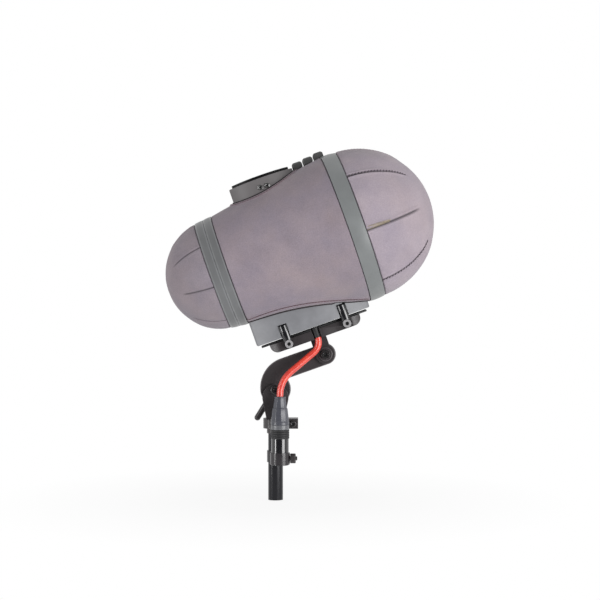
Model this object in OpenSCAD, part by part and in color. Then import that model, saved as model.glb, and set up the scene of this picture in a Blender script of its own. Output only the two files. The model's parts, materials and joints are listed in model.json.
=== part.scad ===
// Basket windscreen on a two-pivot swivel, with its cable, connector and pole stub.
// The pole stands on the Z axis, with its lower end at the origin.
// The basket is drawn in its own frame: X along its axis to the front, Z up, with X = 0 on
// the parting plane of the rear pod. place_basket() tilts that frame about the upper pivot.

/* [Basket] */
// Nose-up angle of the basket axis at rest
tilt = 19.5; // [14:0.5:24]
// Parting plane of the rear pod to the rear edge of the front ring
body_len = 131.5; // [124:0.5:160]
// Radius of the knit at the rear band
rear_r = 56.3; // [50:0.1:64]
// Radius of the knit at the front ring
front_r = 75.6; // [72:0.1:84]
// Depth of the rear dome beyond its band
rear_dome_depth = 47.2; // [36:0.1:52]
// Depth of the front dome beyond the front ring
front_dome_depth = 73.9; // [50:0.1:74]
// Thickness of the knit and its foam backing
knit_t = 3; // [2:0.1:4]

/* [Bands] */
// Width of each of the two rear bands
rear_band = 8.7; // [7:0.1:11]
// Width of the front ring
front_band = 15; // [13:0.1:20]
// How far the bands stand proud of the knit
band_proud = 0.4; // [0.1:0.1:1]
// Step down from the body knit to a dome's edge
dome_step = 1.8; // [1:0.1:3]
// Radial width of the rear bands
band_wall = 7; // [6:0.1:12]
// Wall of the front ring
ring_wall = 4; // [3:0.1:5]
// Radial width of the flange and spigot faces that hold the front magnets
flange_w = 6.5; // [6.2:0.1:8]
// Thickness of the front ring's inner flange
flange_t = 5.8; // [4:0.1:7]
// Wall of the rear pod's lip
lip_wall = 2; // [1.5:0.1:3]
// How far the rear pod's lip reaches into the body
lip_reach = 5; // [3:0.1:7]
// Magnet radius
magnet_r = 2.4; // [1.5:0.1:2.8]
// Magnet thickness
magnet_t = 2; // [1.5:0.1:3]
// Magnets in each joint
magnet_count = 4; // [3:1:8]

/* [Ribs] */
// Ribs under each cover
rib_count = 8; // [6:1:12]
// Thickness of a rib
rib_t = 3; // [2:0.1:4]
// Height of a rib
rib_h = 3.5; // [2.5:0.1:4]
// Length of a hoop along the axis
hoop_w = 5; // [3:0.1:8]
// Radius of the hub where a dome's ribs meet
hub_r = 10; // [8:0.1:16]

/* [Upper saddle] */
// Length of the upper saddle
upper_len = 66; // [58:0.5:72]
// Front end of the upper saddle to the front ring
upper_front_gap = 30.5; // [28:0.5:36]
// Half width of the upper saddle at its middle
upper_half = 28; // [23:0.1:30]
// Half width of the upper saddle at its ends
upper_end = 13; // [10:0.1:16]
// Rise of the upper saddle's top above the knit at its front end
upper_rise = 3.7; // [3.5:0.1:8]
// Thickness of the cover plate
plate_t = 3; // [2:0.1:5]
// Margin of the cover plate inside the saddle's outline
plate_margin = 3.5; // [1:0.1:5]
// Space between the heads of the two saddle screws on each side
saddle_screw_space = 1.6; // [0.6:0.1:6]
// Middle of the saddle screws in front of the upper saddle's middle
saddle_screw_shift = 0.7; // [0:0.1:4]
// Saddle's top down to the heads of the saddle screws
saddle_screw_edge = 6.5; // [5.5:0.1:7]
// Radius of a saddle screw's head
saddle_screw_r = 2.6; // [2.3:0.1:3]

/* [Grip lugs] */
// Number of grip lugs on the top line
lug_count = 3; // [2:1:3]
// Length of a lug along the axis
lug_len = 10.4; // [8:0.1:12.5]
// Width of a lug
lug_w = 14; // [10:0.1:20]
// Space between two lugs
lug_space = 1; // [0.6:0.1:1.6]
// Height of the first lug above the knit
lug_h = 7.3; // [5:0.1:10]
// Rise of the lugs' tops per millimetre along the axis
lug_slope = 0.1; // [0:0.01:0.16]
// Radius of a lug's top edges
lug_round = 2.6; // [1:0.1:3.5]

/* [Lower saddle] */
// Rear band to the rear end of the lower saddle
lower_rear_gap = 0.8; // [0.5:0.1:6]
// Front end of the lower saddle to the front ring
lower_front_gap = 3.6; // [0.5:0.1:6]
// Half width of the lower saddle at its middle beyond the mount bar's
saddle_side = 8; // [6:0.1:12]
// Half width of the lower saddle at its ends
lower_end = 14; // [10:0.1:16]
// Drop of the lower saddle's underside below the knit at its front end
lower_drop = 6; // [5:0.1:12]
// Wall of both saddles
saddle_wall = 3; // [2:0.1:4]
// Spacing of the isolator posts along the axis
post_pitch = 60.5; // [56:0.5:73]
// Middle of the posts in front of the lower saddle's middle
post_shift = 2; // [0:0.1:4]
// Radius of an isolator post
post_r = 3.1; // [2.5:0.1:3.4]
// Height of the posts above the underside of the lower saddle
post_rise = 11.5; // [10.5:0.1:13]
// Wall of the rubber bush on a post
bush_wall = 1.4; // [1:0.1:2]
// Length of the rubber bush
bush_len = 6; // [4:0.1:7]

/* [Mount bar] */
// Length of the mount bar
bar_len = 94; // [84:0.5:100]
// Half width of the mount bar
bar_half = 22; // [20:0.1:26]
// Height of the mount bar
bar_h = 9.2; // [8.5:0.1:12]
// Radius of the bar's lower corners
bar_round = 7.5; // [4:0.1:8]
// Thickness of the isolation pad
pad_t = 2; // [1.5:0.1:3]
// Space between the pad and the lower saddle
pad_space = 1.1; // [1:0.1:2]
// Margin of the isolation pad inside the lower saddle's ends
pad_margin = 3.9; // [1:0.1:10]
// Radius of a post screw's head
post_screw_r = 4; // [3.2:0.1:4.2]

/* [Swivel] */
// Height of the lower pivot above the pole's end
lower_pivot_h = 110.5; // [108:0.5:125]
// Distance from the lower pivot to the upper pivot
arm_reach = 60.9; // [56:0.1:72]
// Angle of the line between the pivots above the horizontal
arm_angle = 35.3; // [32:0.1:40]
// Thickness of the tilt fork's crown
crown_t = 5.4; // [4:0.1:12]
// Upper pivot in front of the lower saddle's middle
pivot_shift = 2.2; // [1:0.1:4]
// Thickness of the arm
arm_t = 13; // [11:0.1:14]
// Height of the arm's straight part
arm_h = 20.8; // [18:0.1:22]
// Radius of the arm's knuckle
knuckle_r = 15.2; // [14:0.1:16]
// Outer radius of the arm's elbow
elbow_r = 30; // [27:0.1:33]
// Ear thickness of the base fork and of the tilt fork
ear_t = 4.1; // [3.5:0.1:5]
// Radius of the tilt fork's ears
fork_r = 9.4; // [8.5:0.1:10]
// Set-back of the tilt fork's neck at its front
fork_step = 2.7; // [0:0.1:3]
// Radius of the pivot bolts
bolt_r = 3; // [2.5:0.1:3.5]
// Radius of the pivot bolts' heads
bolt_head_r = 4.5; // [4:0.1:5.5]
// Height of the pivot bolts' heads
bolt_head_h = 3.5; // [2.5:0.1:4]
// Wall of the bushes in the arm
arm_bush_wall = 1.5; // [1:0.1:2]

/* [Base] */
// Radius of the base fork's ears
ear_r = 13; // [12:0.1:14]
// Drop of the ears' centre below the lower pivot
ear_drop = 8; // [6:0.1:9]
// Wall of the base round the pole where it meets the collar
neck_wall = 1.4; // [1:0.1:2]
// Height of the split collar
collar_h = 10; // [8:0.1:12]
// Wall of the split collar
collar_wall = 4.9; // [4:0.1:5.2]
// Lower pivot down to the collar's top
collar_drop = 29; // [28:0.1:31]
// Length of the pinch lug beyond the collar
pinch_len = 10.2; // [9:0.1:12]
// Half depth of the pinch lug
pinch_half = 9; // [8:0.1:10]
// Width of the collar's slit
slit_w = 1.6; // [1:0.1:2.4]
// Length of the lock lever from the pivot
lever_len = 35; // [30:0.1:40]
// Diameter of the lock lever's handle
lever_d = 6.2; // [5:0.1:7]
// Angle of the lock lever from straight down
lever_angle = 32; // [25:1:60]

/* [Pole] */
// Pole diameter
pole_d = 14.8; // [14:0.1:15.2]
// Pole wall above the socket
pole_wall = 1.6; // [1.2:0.1:2]
// Pole wall at the socket in its lower end
socket_pole_wall = 1.4; // [1:0.1:1.5]
// Depth of the socket in the pole's lower end
pole_socket_len = 30; // [20:1:40]
// Height of the ferrule under the collar
ferrule_h = 5; // [3:0.1:6]
// Wall of the ferrule
ferrule_wall = 1.2; // [0.8:0.1:2]

/* [Connector] */
// Connector axis, to the right of the pole axis
plug_x = 4.7; // [3:0.1:6]
// Space between the collar and the connector's boot
plug_space = 1.9; // [1:0.1:4]
// Height of the connector's open end above the pole's end
plug_z = 37; // [32:0.5:38]
// Outer radius of the connector's shell
shell_r = 8.6; // [8.4:0.1:9]
// Wall of the connector's shell
shell_wall = 0.85; // [0.7:0.05:1]
// Length of the shell from its open end
shell_len = 35; // [34:0.1:38]
// Length of the ribbed sleeve at the shell's upper end
sleeve_len = 9; // [7:0.1:11]
// Wall of the ribbed sleeve
sleeve_wall = 0.5; // [0.4:0.1:0.8]
// Length of the light ring
light_ring_len = 4.6; // [3:0.1:6]
// Radius of the boot's lower end
boot_r = 9.2; // [8.5:0.1:9.4]
// Radius of the boot at its step
boot_step_r = 7.6; // [7.4:0.05:8]
// Radius of the boot's top
boot_top_r = 5.35; // [5:0.05:6]
// Length of the boot
boot_len = 27.9; // [26:0.1:31]
// Step of the boot below its top
boot_step = 11.4; // [10:0.1:13]
// Clip height on the pole
clip_h = 11.5; // [9:0.1:13]
// Wall of the clip round the pole and the connector
clip_wall = 1.1; // [0.9:0.1:1.6]
// Diameter of the clip's thumbscrew knob
knob_d = 9; // [8:0.1:10]
// Length of the thumbscrew knob
knob_len = 5.2; // [4:0.1:8]

/* [Cable] */
// Cable diameter
cable_d = 6.5; // [5:0.1:6.6]
// Cable in front of the basket's middle plane
cable_y = 18; // [17:0.1:18]
// Cable in front of the lower saddle's middle
cable_shift = 0.5; // [0.2:0.1:0.8]

/* [Microphone clips] */
// Radius of the microphone body
mic_r = 10.5; // [9:0.1:11.5]
// Spacing of the two clips
clip_pitch = 50; // [40:1:56]
// Middle of the two clips in front of the lower saddle's middle
rail_shift = 1.3; // [0:0.1:3]
// Width of a clip along the axis
lyre_w = 8; // [6:0.1:10]
// Wall of a clip
lyre_wall = 2.5; // [2:0.1:3]
// Rail depth below the basket axis
rail_drop = 40; // [38:0.5:44]
// Lap of the springy loop over a clip's ring
loop_lap = 4.5; // [3:0.1:6]
// Half width of the rail
rail_half = 7; // [5:0.1:8]
// Thickness of the rail
rail_t = 4; // [3:0.1:5]
// Radius of the rail's two pillars
pillar_r = 4; // [3:0.1:5]
// Spacing of the rail's pillars
pillar_pitch = 36; // [30:1:44]

/* [Clearances] */
// Between seated pieces of one body
fit = 0.1; // [0.05:0.05:0.15]
// Radial running clearance of pivots
run = 0.05; // [0.02:0.01:0.08]
// Between pieces that move past each other
gap = 0.3; // [0.2:0.05:0.4]

/* [Hidden] */
POST_NODES = [for (i = [1:4]) str("isolator_post_", i)];
LUG_NODES = [for (i = [1:lug_count]) str("grip_lug_", i)];
$fn = 64;
long = 400;

upper_pivot_x = arm_reach * cos(arm_angle);
upper_pivot_z = lower_pivot_h + arm_reach * sin(arm_angle);

// Basket of revolution
front_edge = body_len + front_band;
rear_mid_r = rear_r - dome_step / 2;
rear_edge_r = rear_r - dome_step;
rear_bore_r = rear_edge_r - band_wall;
front_edge_r = front_r - dome_step / 2;
rear_dome_r = (rear_edge_r ^ 2 + rear_dome_depth ^ 2) / (2 * rear_dome_depth);
front_dome_r = (front_edge_r ^ 2 + front_dome_depth ^ 2) / (2 * front_dome_depth);
rear_dome_u = -rear_band - rear_dome_depth + rear_dome_r;
front_dome_u = front_edge + front_dome_depth - front_dome_r;
ring_bore_r = front_edge_r + band_proud - ring_wall;
flange_r = ring_bore_r - flange_w;
flange_face = body_len + flange_t;
spigot_r = ring_bore_r - gap;
front_magnet_ring = ring_bore_r - flange_w / 2;
rear_magnet_ring = rear_bore_r + band_wall / 2;
magnet_turn = 45;
rib_turn = 180 / rib_count;
rib_inset = 0.25;
hub_bore = 3;
hoop_inset = 22;

// Saddles
lower_len = body_len - rear_band - lower_rear_gap - lower_front_gap;
lower_u = rear_band + lower_rear_gap + lower_len / 2;
lower_half = bar_half + saddle_side;
lower_depth = body_r(lower_u + lower_len / 2) + lower_drop;
floor_w = -lower_depth + saddle_wall;
upper_u = body_len - upper_front_gap - upper_len / 2;
upper_top = body_r(upper_u + upper_len / 2) + upper_rise;
saddle_screw_u = upper_u + saddle_screw_shift;
saddle_screw_half = saddle_screw_r + saddle_screw_space / 2;
saddle_screw_w = upper_top - saddle_screw_edge - saddle_screw_r;
saddle_screw_seat = upper_half - saddle_wall / 2;
saddle_screw_h = 2.5;
saddle_screw_len = 10;
saddle_shank_r = 1.4;
bracket_len = 24;
bracket_below = 3.2;
lug_gap = 0.8;
lug_pitch = lug_len + lug_space;
lug_first_u = upper_u + upper_len / 2 + lug_gap + lug_len / 2;
rail_u = lower_u + rail_shift;
rail_len = clip_pitch + 2 * lyre_w;
lyre_foot = 3.75;
loop_r = (rail_drop - mic_r + loop_lap) / 2;

// Posts, pad and bar
post_y = bar_half + post_r;
post_us = [for (side = [-1, 1]) lower_u + post_shift + side * post_pitch / 2];
bush_r = post_r + run + bush_wall;
socket_r = bush_r + fit;
socket_wall = 2.4;
socket_room = 3;
socket_top = -lower_depth + post_rise + socket_room;
pad_top = -lower_depth - pad_space;
pad_inset = 0.5;
pad_end = 10;
bar_top = pad_top - pad_t;
bar_bottom = bar_top - bar_h;
eye_wall = 0.6;
eye_r = post_screw_r + eye_wall;
eye_t = 3.5;
eye_w = bar_top - bar_h / 2;
post_screw_h = 3;
post_screw_len = 12;
screw_shank_r = 1.5;
fork_head_r = 3;
fork_head_h = 3;
fork_screw_half = 4.6;
cable_u = lower_u + cable_shift;
grommet_wall = 0.5;
grommet_inset = 1;
notch_r = cable_d / 2 + grommet_wall;
cable_room = 1.5;

// Swivel
pivot_u = lower_u + pivot_shift;
ear_in = arm_t / 2 + gap;
ear_out = ear_in + ear_t;
tongue_r = arm_h / 2;
tongue_room = 1.6;
crown_w = bar_bottom - crown_t;
crown_skin = 1.5;
pivot_drop = tongue_r + tongue_room - crown_w;
bush_out = bolt_r + run + arm_bush_wall;
elbow_mid = elbow_r - arm_h / 2;
elbow_x = elbow_r - knuckle_r;
arm_run = (upper_pivot_x + elbow_mid * sin(tilt) - elbow_x) / cos(tilt);
elbow_z = upper_pivot_z - arm_run * sin(tilt) - elbow_mid * cos(tilt);
bolt_socket_r = 2.3;
cap_t = 1.2;
cap_r = 7;
nut_r = 5;
nut_t = 4.5;
bolt_short = 0.5;

// Base and pole
pole_r = pole_d / 2;
pole_bore_r = pole_r - pole_wall;
neck_half = pole_r + neck_wall;
collar_r = pole_r + collar_wall;
lug_reach = collar_r + pinch_len;
collar_top = lower_pivot_h - collar_drop;
collar_bottom = collar_top - collar_h;
knuckle_room = 0.5;
fork_floor = lower_pivot_h - knuckle_r - knuckle_room;
floor_t = 3.2;
plug_flange = 1.5;
plug_depth = 12;
pole_top = fork_floor - floor_t - plug_flange;
neck_d = sqrt(neck_half ^ 2 + (collar_drop - ear_drop) ^ 2);
ear_touch = atan2(ear_drop - collar_drop, neck_half) + acos(ear_r / neck_d);
pinch_x = collar_r + pinch_len / 2;
pinch_w = collar_bottom + collar_h / 2;
pinch_screw_r = 3.2;
pinch_screw_h = 3;
hub_len = 8;
hub_cap = 1;
lever_y = ear_out + gap + hub_len - lever_d / 2;
lever_hub_r = 7;

// Connector
plug_y = sqrt((collar_r + boot_r + plug_space) ^ 2 - plug_x ^ 2);
sleeve_z = plug_z + shell_len - sleeve_len;
boot_z = plug_z + shell_len + light_ring_len;
boot_ledge = 0.5;
chuck_r = 6;
chuck_len = 15;
ring_bore = 5;
insert_depth = 17.5;
insert_z = plug_z + insert_depth;
insert_t = 8;
pin_r = 1.2;
pin_ring = 4;
pin_depth = 5.5;
pin_tip = plug_z + pin_depth;
pin_tail = 3;
clip_inset = 0.8;
clip_z = plug_z + clip_inset;
clip_ring = shell_r + fit + clip_wall;
clip_pole_r = pole_r + fit + clip_wall;
web_half = 3.3;
screw_x = plug_x + clip_ring + gap;
screw_r = 2;
screw_tip = plug_x + shell_r + gap;
knob_tip = 1.5;

// Cable route from the saddle, through the bar's notch, down to the chuck in the connector
cable_sides = 10;
cable_route = [
    [37.33, -18, 175.53], [39.95, -18, 168.13], [41.96, -18, 162.47], [42.73, -18, 158.43],
    [42.26, -18.05, 154.35], [40.6, -18.2, 150.6], [37.88, -18.42, 147.51], [32.26, -18.99, 142.8],
    [26.65, -19.71, 138.09], [21.03, -20.49, 133.37], [15.41, -21.27, 128.66], [10.9, -21.91, 123.94],
    [7.51, -22.42, 118.36], [5.41, -22.77, 112.17], [4.7, -22.9, 105.68], [4.7, -22.9, 96], [4.7, -22.9, 85]
];

function body_r(u) = rear_r + (front_r - rear_r) * (u - rear_band) / (body_len - rear_band);
function unit(v) = v / norm(v);
function lug_u(i) = lug_first_u + i * lug_pitch;
function route_dir(i) =
    unit(cable_route[min(i + 1, len(cable_route) - 1)] - cable_route[max(i - 1, 0)]);

module place_basket() {
    translate([upper_pivot_x, 0, upper_pivot_z])
        rotate([0, -tilt, 0])
            translate([-pivot_u, 0, pivot_drop])
                children();
}

// Cylinder along the basket axis
module along_u(u, h, r1, r2 = -1) {
    translate([u, 0, 0])
        rotate([0, 90, 0])
            cylinder(h = h, r1 = r1, r2 = r2 < 0 ? r1 : r2);
}

// Cylinder along Y from y0 to y1
module along_y(x, y0, y1, z, r) {
    translate([x, y1, z])
        rotate([90, 0, 0])
            cylinder(h = y1 - y0, r = r);
}

// Plate in the XZ plane from y0 to y1
module plate_y(y0, y1) {
    translate([0, y1, 0])
        rotate([90, 0, 0])
            linear_extrude(height = y1 - y0)
                children();
}

// Cone of the body cover, grown by a margin, past both of its ends
module body_cone(margin) {
    u0 = -rear_band;
    u1 = front_edge;
    along_u(u0, u1 - u0, body_r(u0) + margin, body_r(u1) + margin);
}

// Outline with two curved sides and two straight ends
module boat(l, half, end) {
    sag = half - end;
    side_r = ((l / 2) ^ 2 + sag ^ 2) / (2 * sag);
    intersection() {
        translate([0, half - side_r]) circle(side_r, $fn = 240);
        translate([0, side_r - half]) circle(side_r, $fn = 240);
        square([l, 2 * half], center = true);
    }
}

module boat_column(u, l, half, end, w0, w1, margin = 0) {
    translate([u, 0, w0])
        linear_extrude(height = w1 - w0)
            boat(l + 2 * margin, half + margin, end + margin);
}

module lower_column(w0, w1, margin = 0) {
    boat_column(lower_u, lower_len, lower_half, lower_end, w0, w1, margin);
}

module upper_column(w0, w1, margin = 0) {
    boat_column(upper_u, upper_len, upper_half, upper_end, w0, w1, margin);
}

// Half profile of a domed wall, radius along X and basket axis along Y, from u0 to the pole
module dome_profile(u, r, t, u0, dir) {
    intersection() {
        translate([0, u])
            difference() {
                circle(r, $fn = 128);
                circle(r - t, $fn = 128);
            }
        translate([0, dir > 0 ? u0 : u0 - long]) square(long);
    }
}

// Turns a half profile about the basket axis
module spun() {
    rotate([0, 90, 0]) rotate_extrude($fn = 128) children();
}

module turned(count, start) {
    for (i = [0:count - 1])
        rotate([start + i * 360 / count, 0, 0]) children();
}

// Ribs, hoop and hub under a dome
module dome_frame(u, r, u0, dir) {
    spun()
        intersection() {
            dome_profile(u, r, rib_h, u0, dir);
            union() {
                translate([0, min(u0, u0 + dir * hoop_w)]) square([long, hoop_w]);
                translate([hub_bore, dir > 0 ? u : u - long]) square([hub_r - hub_bore, long]);
            }
        }
    turned(rib_count, rib_turn)
        rotate([90, 0, 0])
            linear_extrude(height = rib_t, center = true)
                mirror([1, -1])
                    intersection() {
                        dome_profile(u, r - rib_inset, rib_h, u0, dir);
                        translate([hub_r / 2, -long]) square([long, 2 * long]);
                    }
}

// Discs of one magnet ring, starting at u
module magnet_ring(u, ring_r, grow = 0) {
    turned(magnet_count, magnet_turn)
        translate([u, 0, ring_r])
            rotate([0, 90, 0]) cylinder(h = magnet_t, r = magnet_r + grow);
}

// Screw along Y: head on the outside, shank towards the middle, side -1 is the near side
module side_screw(u, w, seat, side, head_r, head_h, shank_r, shank_len, hex_r) {
    mirror([0, side < 0 ? 0 : 1, 0])
        difference() {
            union() {
                along_y(u, -seat - head_h, -seat, w, head_r);
                along_y(u, -seat, -seat + shank_len, w, shank_r);
            }
            translate([u, -seat - head_h / 2, w])
                rotate([90, 0, 0]) cylinder(h = head_h, r = hex_r, $fn = 6);
        }
}

module pole_tube() {
    color("#1c1c20")
        difference() {
            cylinder(h = pole_top, r = pole_r);
            translate([0, 0, -1]) cylinder(h = pole_top + 2, r = pole_bore_r);
            translate([0, 0, -1]) cylinder(h = pole_socket_len + 1, r = pole_r - socket_pole_wall);
        }
}

module pole_plug() {
    color("dimgray") {
        translate([0, 0, pole_top - plug_depth]) cylinder(h = plug_depth, r = pole_bore_r - fit);
        translate([0, 0, pole_top]) cylinder(h = plug_flange, r = pole_r);
    }
}

module pole_ferrule() {
    color("#2a2a2e")
        translate([0, 0, collar_bottom - ferrule_h])
            difference() {
                cylinder(h = ferrule_h, r = pole_r + fit + ferrule_wall);
                translate([0, 0, -1]) cylinder(h = ferrule_h + 2, r = pole_r + fit);
            }
}

// Outline of the base fork, from the collar's top to the ears
module ear_outline() {
    touch = [ear_r * cos(ear_touch), ear_r * sin(ear_touch) + lower_pivot_h - ear_drop];
    translate([0, lower_pivot_h - ear_drop]) circle(ear_r);
    polygon([
        [-touch[0], touch[1]], [-neck_half, collar_top - 1],
        [neck_half, collar_top - 1], [touch[0], touch[1]]
    ]);
}

module swivel_base() {
    color("#232328")
        difference() {
            union() {
                plate_y(-ear_out, ear_out) ear_outline();
                translate([0, 0, collar_bottom]) cylinder(h = collar_h, r = collar_r);
                translate([0, -pinch_half, collar_bottom]) cube([lug_reach, 2 * pinch_half, collar_h]);
            }
            translate([-long / 2, -ear_in, fork_floor]) cube([long, 2 * ear_in, long]);
            along_y(0, -long, long, lower_pivot_h, bolt_r + run);
            cylinder(h = pole_top + plug_flange + fit, r = pole_r + fit);
            translate([0, -slit_w / 2, 0]) cube([lug_reach + 1, slit_w, collar_top]);
            along_y(pinch_x, -long, long, pinch_w, screw_shank_r + fit);
        }
}

module collar_screw() {
    color("silver")
        side_screw(pinch_x, pinch_w, pinch_half, -1,
            pinch_screw_r, pinch_screw_h, screw_shank_r, 2 * pinch_half, pinch_screw_r / 2);
}

module base_bolt() {
    color("silver")
        side_screw(0, lower_pivot_h, ear_out, -1,
            bolt_head_r, bolt_head_h, bolt_r, 2 * ear_out + gap + hub_len - 2 * hub_cap, bolt_socket_r);
}

module lock_lever() {
    y0 = ear_out + gap;
    color("#1a1a1d")
        difference() {
            union() {
                along_y(0, y0, y0 + hub_len, lower_pivot_h, lever_hub_r);
                translate([0, lever_y, lower_pivot_h])
                    rotate([0, 180 + lever_angle, 0]) {
                        cylinder(h = lever_len, r = lever_d / 2);
                        translate([0, 0, lever_len]) sphere(lever_d / 2);
                    }
            }
            along_y(0, y0 - 1, y0 + hub_len - hub_cap, lower_pivot_h, bolt_r + run);
        }
}

module clip_body() {
    bridge = unit([plug_x, -plug_y]);
    turn = atan2(bridge[1], bridge[0]);
    color("#36363a")
        translate([0, 0, clip_z])
            difference() {
                union() {
                    cylinder(h = clip_h, r = clip_pole_r);
                    translate([plug_x, -plug_y, 0]) cylinder(h = clip_h, r = clip_ring);
                    rotate([0, 0, turn])
                        translate([0, -web_half, 0]) cube([plug_y, 2 * web_half, clip_h]);
                }
                translate([0, 0, -1]) cylinder(h = clip_h + 2, r = pole_r + fit);
                translate([plug_x, -plug_y, -1]) cylinder(h = clip_h + 2, r = shell_r + fit);
                translate([plug_x, -plug_y, clip_h / 2])
                    rotate([0, 90, 0]) cylinder(h = clip_ring + 1, r = screw_r + run);
            }
}

module clip_thumbscrew() {
    color("#2c2c30")
        translate([0, -plug_y, clip_z + clip_h / 2]) {
            along_u(screw_tip, screw_x - screw_tip, screw_r);
            along_u(screw_x, knob_len, knob_d / 2);
            along_u(screw_x + knob_len, knob_tip, screw_r);
        }
}

module on_plug(z) {
    translate([plug_x, -plug_y, z]) children();
}

module xlr_shell() {
    color("#101012")
        on_plug(plug_z)
            difference() {
                cylinder(h = shell_len, r = shell_r);
                translate([0, 0, -1]) cylinder(h = shell_len + 2, r = shell_r - shell_wall);
            }
}

module xlr_sleeve() {
    color("#26262a")
        on_plug(sleeve_z)
            difference() {
                cylinder(h = sleeve_len, r = shell_r + fit + sleeve_wall);
                translate([0, 0, -1]) cylinder(h = sleeve_len + 2, r = shell_r + fit);
            }
}

module pin_places() {
    for (a = [30, 150, 270])
        rotate([0, 0, a]) translate([pin_ring, 0, 0]) children();
}

module xlr_insert() {
    color("#1a1a1a")
        on_plug(insert_z)
            difference() {
                cylinder(h = insert_t, r = shell_r - shell_wall - fit);
                translate([0, 0, -1]) pin_places() cylinder(h = insert_t + 2, r = pin_r + run);
            }
}

module xlr_pins() {
    color("silver")
        on_plug(pin_tip)
            pin_places() cylinder(h = insert_z + insert_t + pin_tail - pin_tip, r = pin_r);
}

module xlr_ring() {
    color("darkgray")
        on_plug(plug_z + shell_len)
            difference() {
                cylinder(h = light_ring_len, r = boot_r - fit);
                translate([0, 0, -1]) cylinder(h = light_ring_len + 2, r = ring_bore);
            }
}

module xlr_boot() {
    step_z = boot_len - boot_step;
    color("#63666e")
        on_plug(boot_z)
            difference() {
                union() {
                    cylinder(h = step_z, r1 = boot_r, r2 = boot_step_r);
                    translate([0, 0, step_z])
                        cylinder(h = boot_step, r1 = boot_step_r - boot_ledge, r2 = boot_top_r);
                }
                translate([0, 0, -1]) cylinder(h = chuck_len + 1 + fit, r = chuck_r + fit);
                cylinder(h = boot_len + 1, r = cable_d / 2 + gap);
            }
}

module cable_chuck() {
    color("gray")
        on_plug(boot_z)
            difference() {
                cylinder(h = chuck_len, r = chuck_r);
                translate([0, 0, -1]) cylinder(h = chuck_len + 2, r = cable_d / 2 + fit);
            }
}

// Tube swept along the route's points, one ring of points at each
module cable_tail() {
    n = cable_sides;
    last = len(cable_route) - 1;
    rings = [for (i = [0:last])
        let (t = route_dir(i), a = unit(cross(t, [0, 1, 0])), b = cross(a, t))
        for (k = [0:n - 1])
            cable_route[i] + cable_d / 2 * (a * cos(360 * k / n) + b * sin(360 * k / n))];
    sides = [for (i = [0:last - 1], k = [0:n - 1])
        let (p = i * n + k, q = i * n + (k + 1) % n)
        each [[p, q, q + n], [p, q + n, p + n]]];
    start_cap = [for (k = [1:n - 2]) [0, k + 1, k]];
    end_cap = [for (k = [1:n - 2]) [last * n, last * n + k, last * n + k + 1]];
    color("#c23a30")
        polyhedron(rings, concat(sides, start_cap, end_cap));
}

// Arm outline: knuckle, leg, elbow and straight part, in X and Z from the pole's end
module arm_outline() {
    inner_r = elbow_r - arm_h;
    leg_low = min(lower_pivot_h, elbow_z);
    translate([0, lower_pivot_h]) circle(knuckle_r);
    translate([-knuckle_r, leg_low]) square([arm_h, abs(elbow_z - lower_pivot_h)]);
    translate([upper_pivot_x, upper_pivot_z]) circle(tongue_r);
    translate([elbow_x, elbow_z]) {
        rotate(tilt) translate([0, inner_r]) square([arm_run, arm_h]);
        intersection() {
            circle(elbow_r, $fn = 128);
            polygon([
                [0, 0], elbow_r * 2 * [-sin(tilt), cos(tilt)], elbow_r * 2 * [-1, 1], [-elbow_r * 2, 0]
            ]);
        }
    }
}

module swivel_arm() {
    color("#2b2a2e")
        difference() {
            plate_y(-arm_t / 2, arm_t / 2) arm_outline();
            along_y(0, -long, long, lower_pivot_h, bush_out + run);
            along_y(upper_pivot_x, -long, long, upper_pivot_z, bush_out + run);
        }
}

module arm_bush(x, z) {
    color("darkkhaki")
        difference() {
            along_y(x, -arm_t / 2, arm_t / 2, z, bush_out);
            along_y(x, -arm_t, arm_t, z, bolt_r + run);
        }
}

module arm_bush_lower() {
    arm_bush(0, lower_pivot_h);
}

module arm_bush_upper() {
    arm_bush(upper_pivot_x, upper_pivot_z);
}

module fork_screw_places() {
    for (side = [-1, 1])
        translate([pivot_u - fork_step / 2 + side * fork_screw_half, 0, 0]) children();
}

module tilt_fork() {
    color("#202024")
        place_basket()
            difference() {
                plate_y(-ear_out, ear_out) {
                    translate([pivot_u, -pivot_drop]) circle(fork_r);
                    translate([pivot_u - fork_r, -pivot_drop])
                        square([2 * fork_r - fork_step, bar_bottom + pivot_drop]);
                }
                translate([pivot_u - long / 2, -ear_in, crown_w - long]) cube([long, 2 * ear_in, long]);
                along_y(pivot_u, -long, long, -pivot_drop, bolt_r + run);
                fork_screw_places()
                    translate([0, 0, crown_w + crown_skin - fit])
                        cylinder(h = long, r = screw_shank_r + fit);
            }
}

module fork_screws() {
    color("silver")
        place_basket()
            fork_screw_places() {
                translate([0, 0, bar_top - fork_head_h]) cylinder(h = fork_head_h, r = fork_head_r);
                translate([0, 0, crown_w + crown_skin])
                    cylinder(h = bar_top - fork_head_h - crown_w - crown_skin, r = screw_shank_r);
            }
}

module tilt_bolt() {
    color("silver")
        place_basket()
            side_screw(pivot_u, -pivot_drop, ear_out + cap_t, -1,
                bolt_head_r, bolt_head_h, bolt_r, 2 * ear_out + cap_t + nut_t - bolt_short, bolt_socket_r);
}

module tilt_cap() {
    color("#151517")
        place_basket()
            difference() {
                along_y(pivot_u, -ear_out - cap_t, -ear_out, -pivot_drop, cap_r);
                along_y(pivot_u, -long, long, -pivot_drop, bolt_r + run);
            }
}

module tilt_nut() {
    color("silver")
        place_basket()
            difference() {
                translate([pivot_u, ear_out + nut_t, -pivot_drop])
                    rotate([90, 0, 0]) cylinder(h = nut_t, r = nut_r, $fn = 6);
                along_y(pivot_u, ear_out - 1, ear_out + nut_t + 1, -pivot_drop, bolt_r + run);
            }
}

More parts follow.
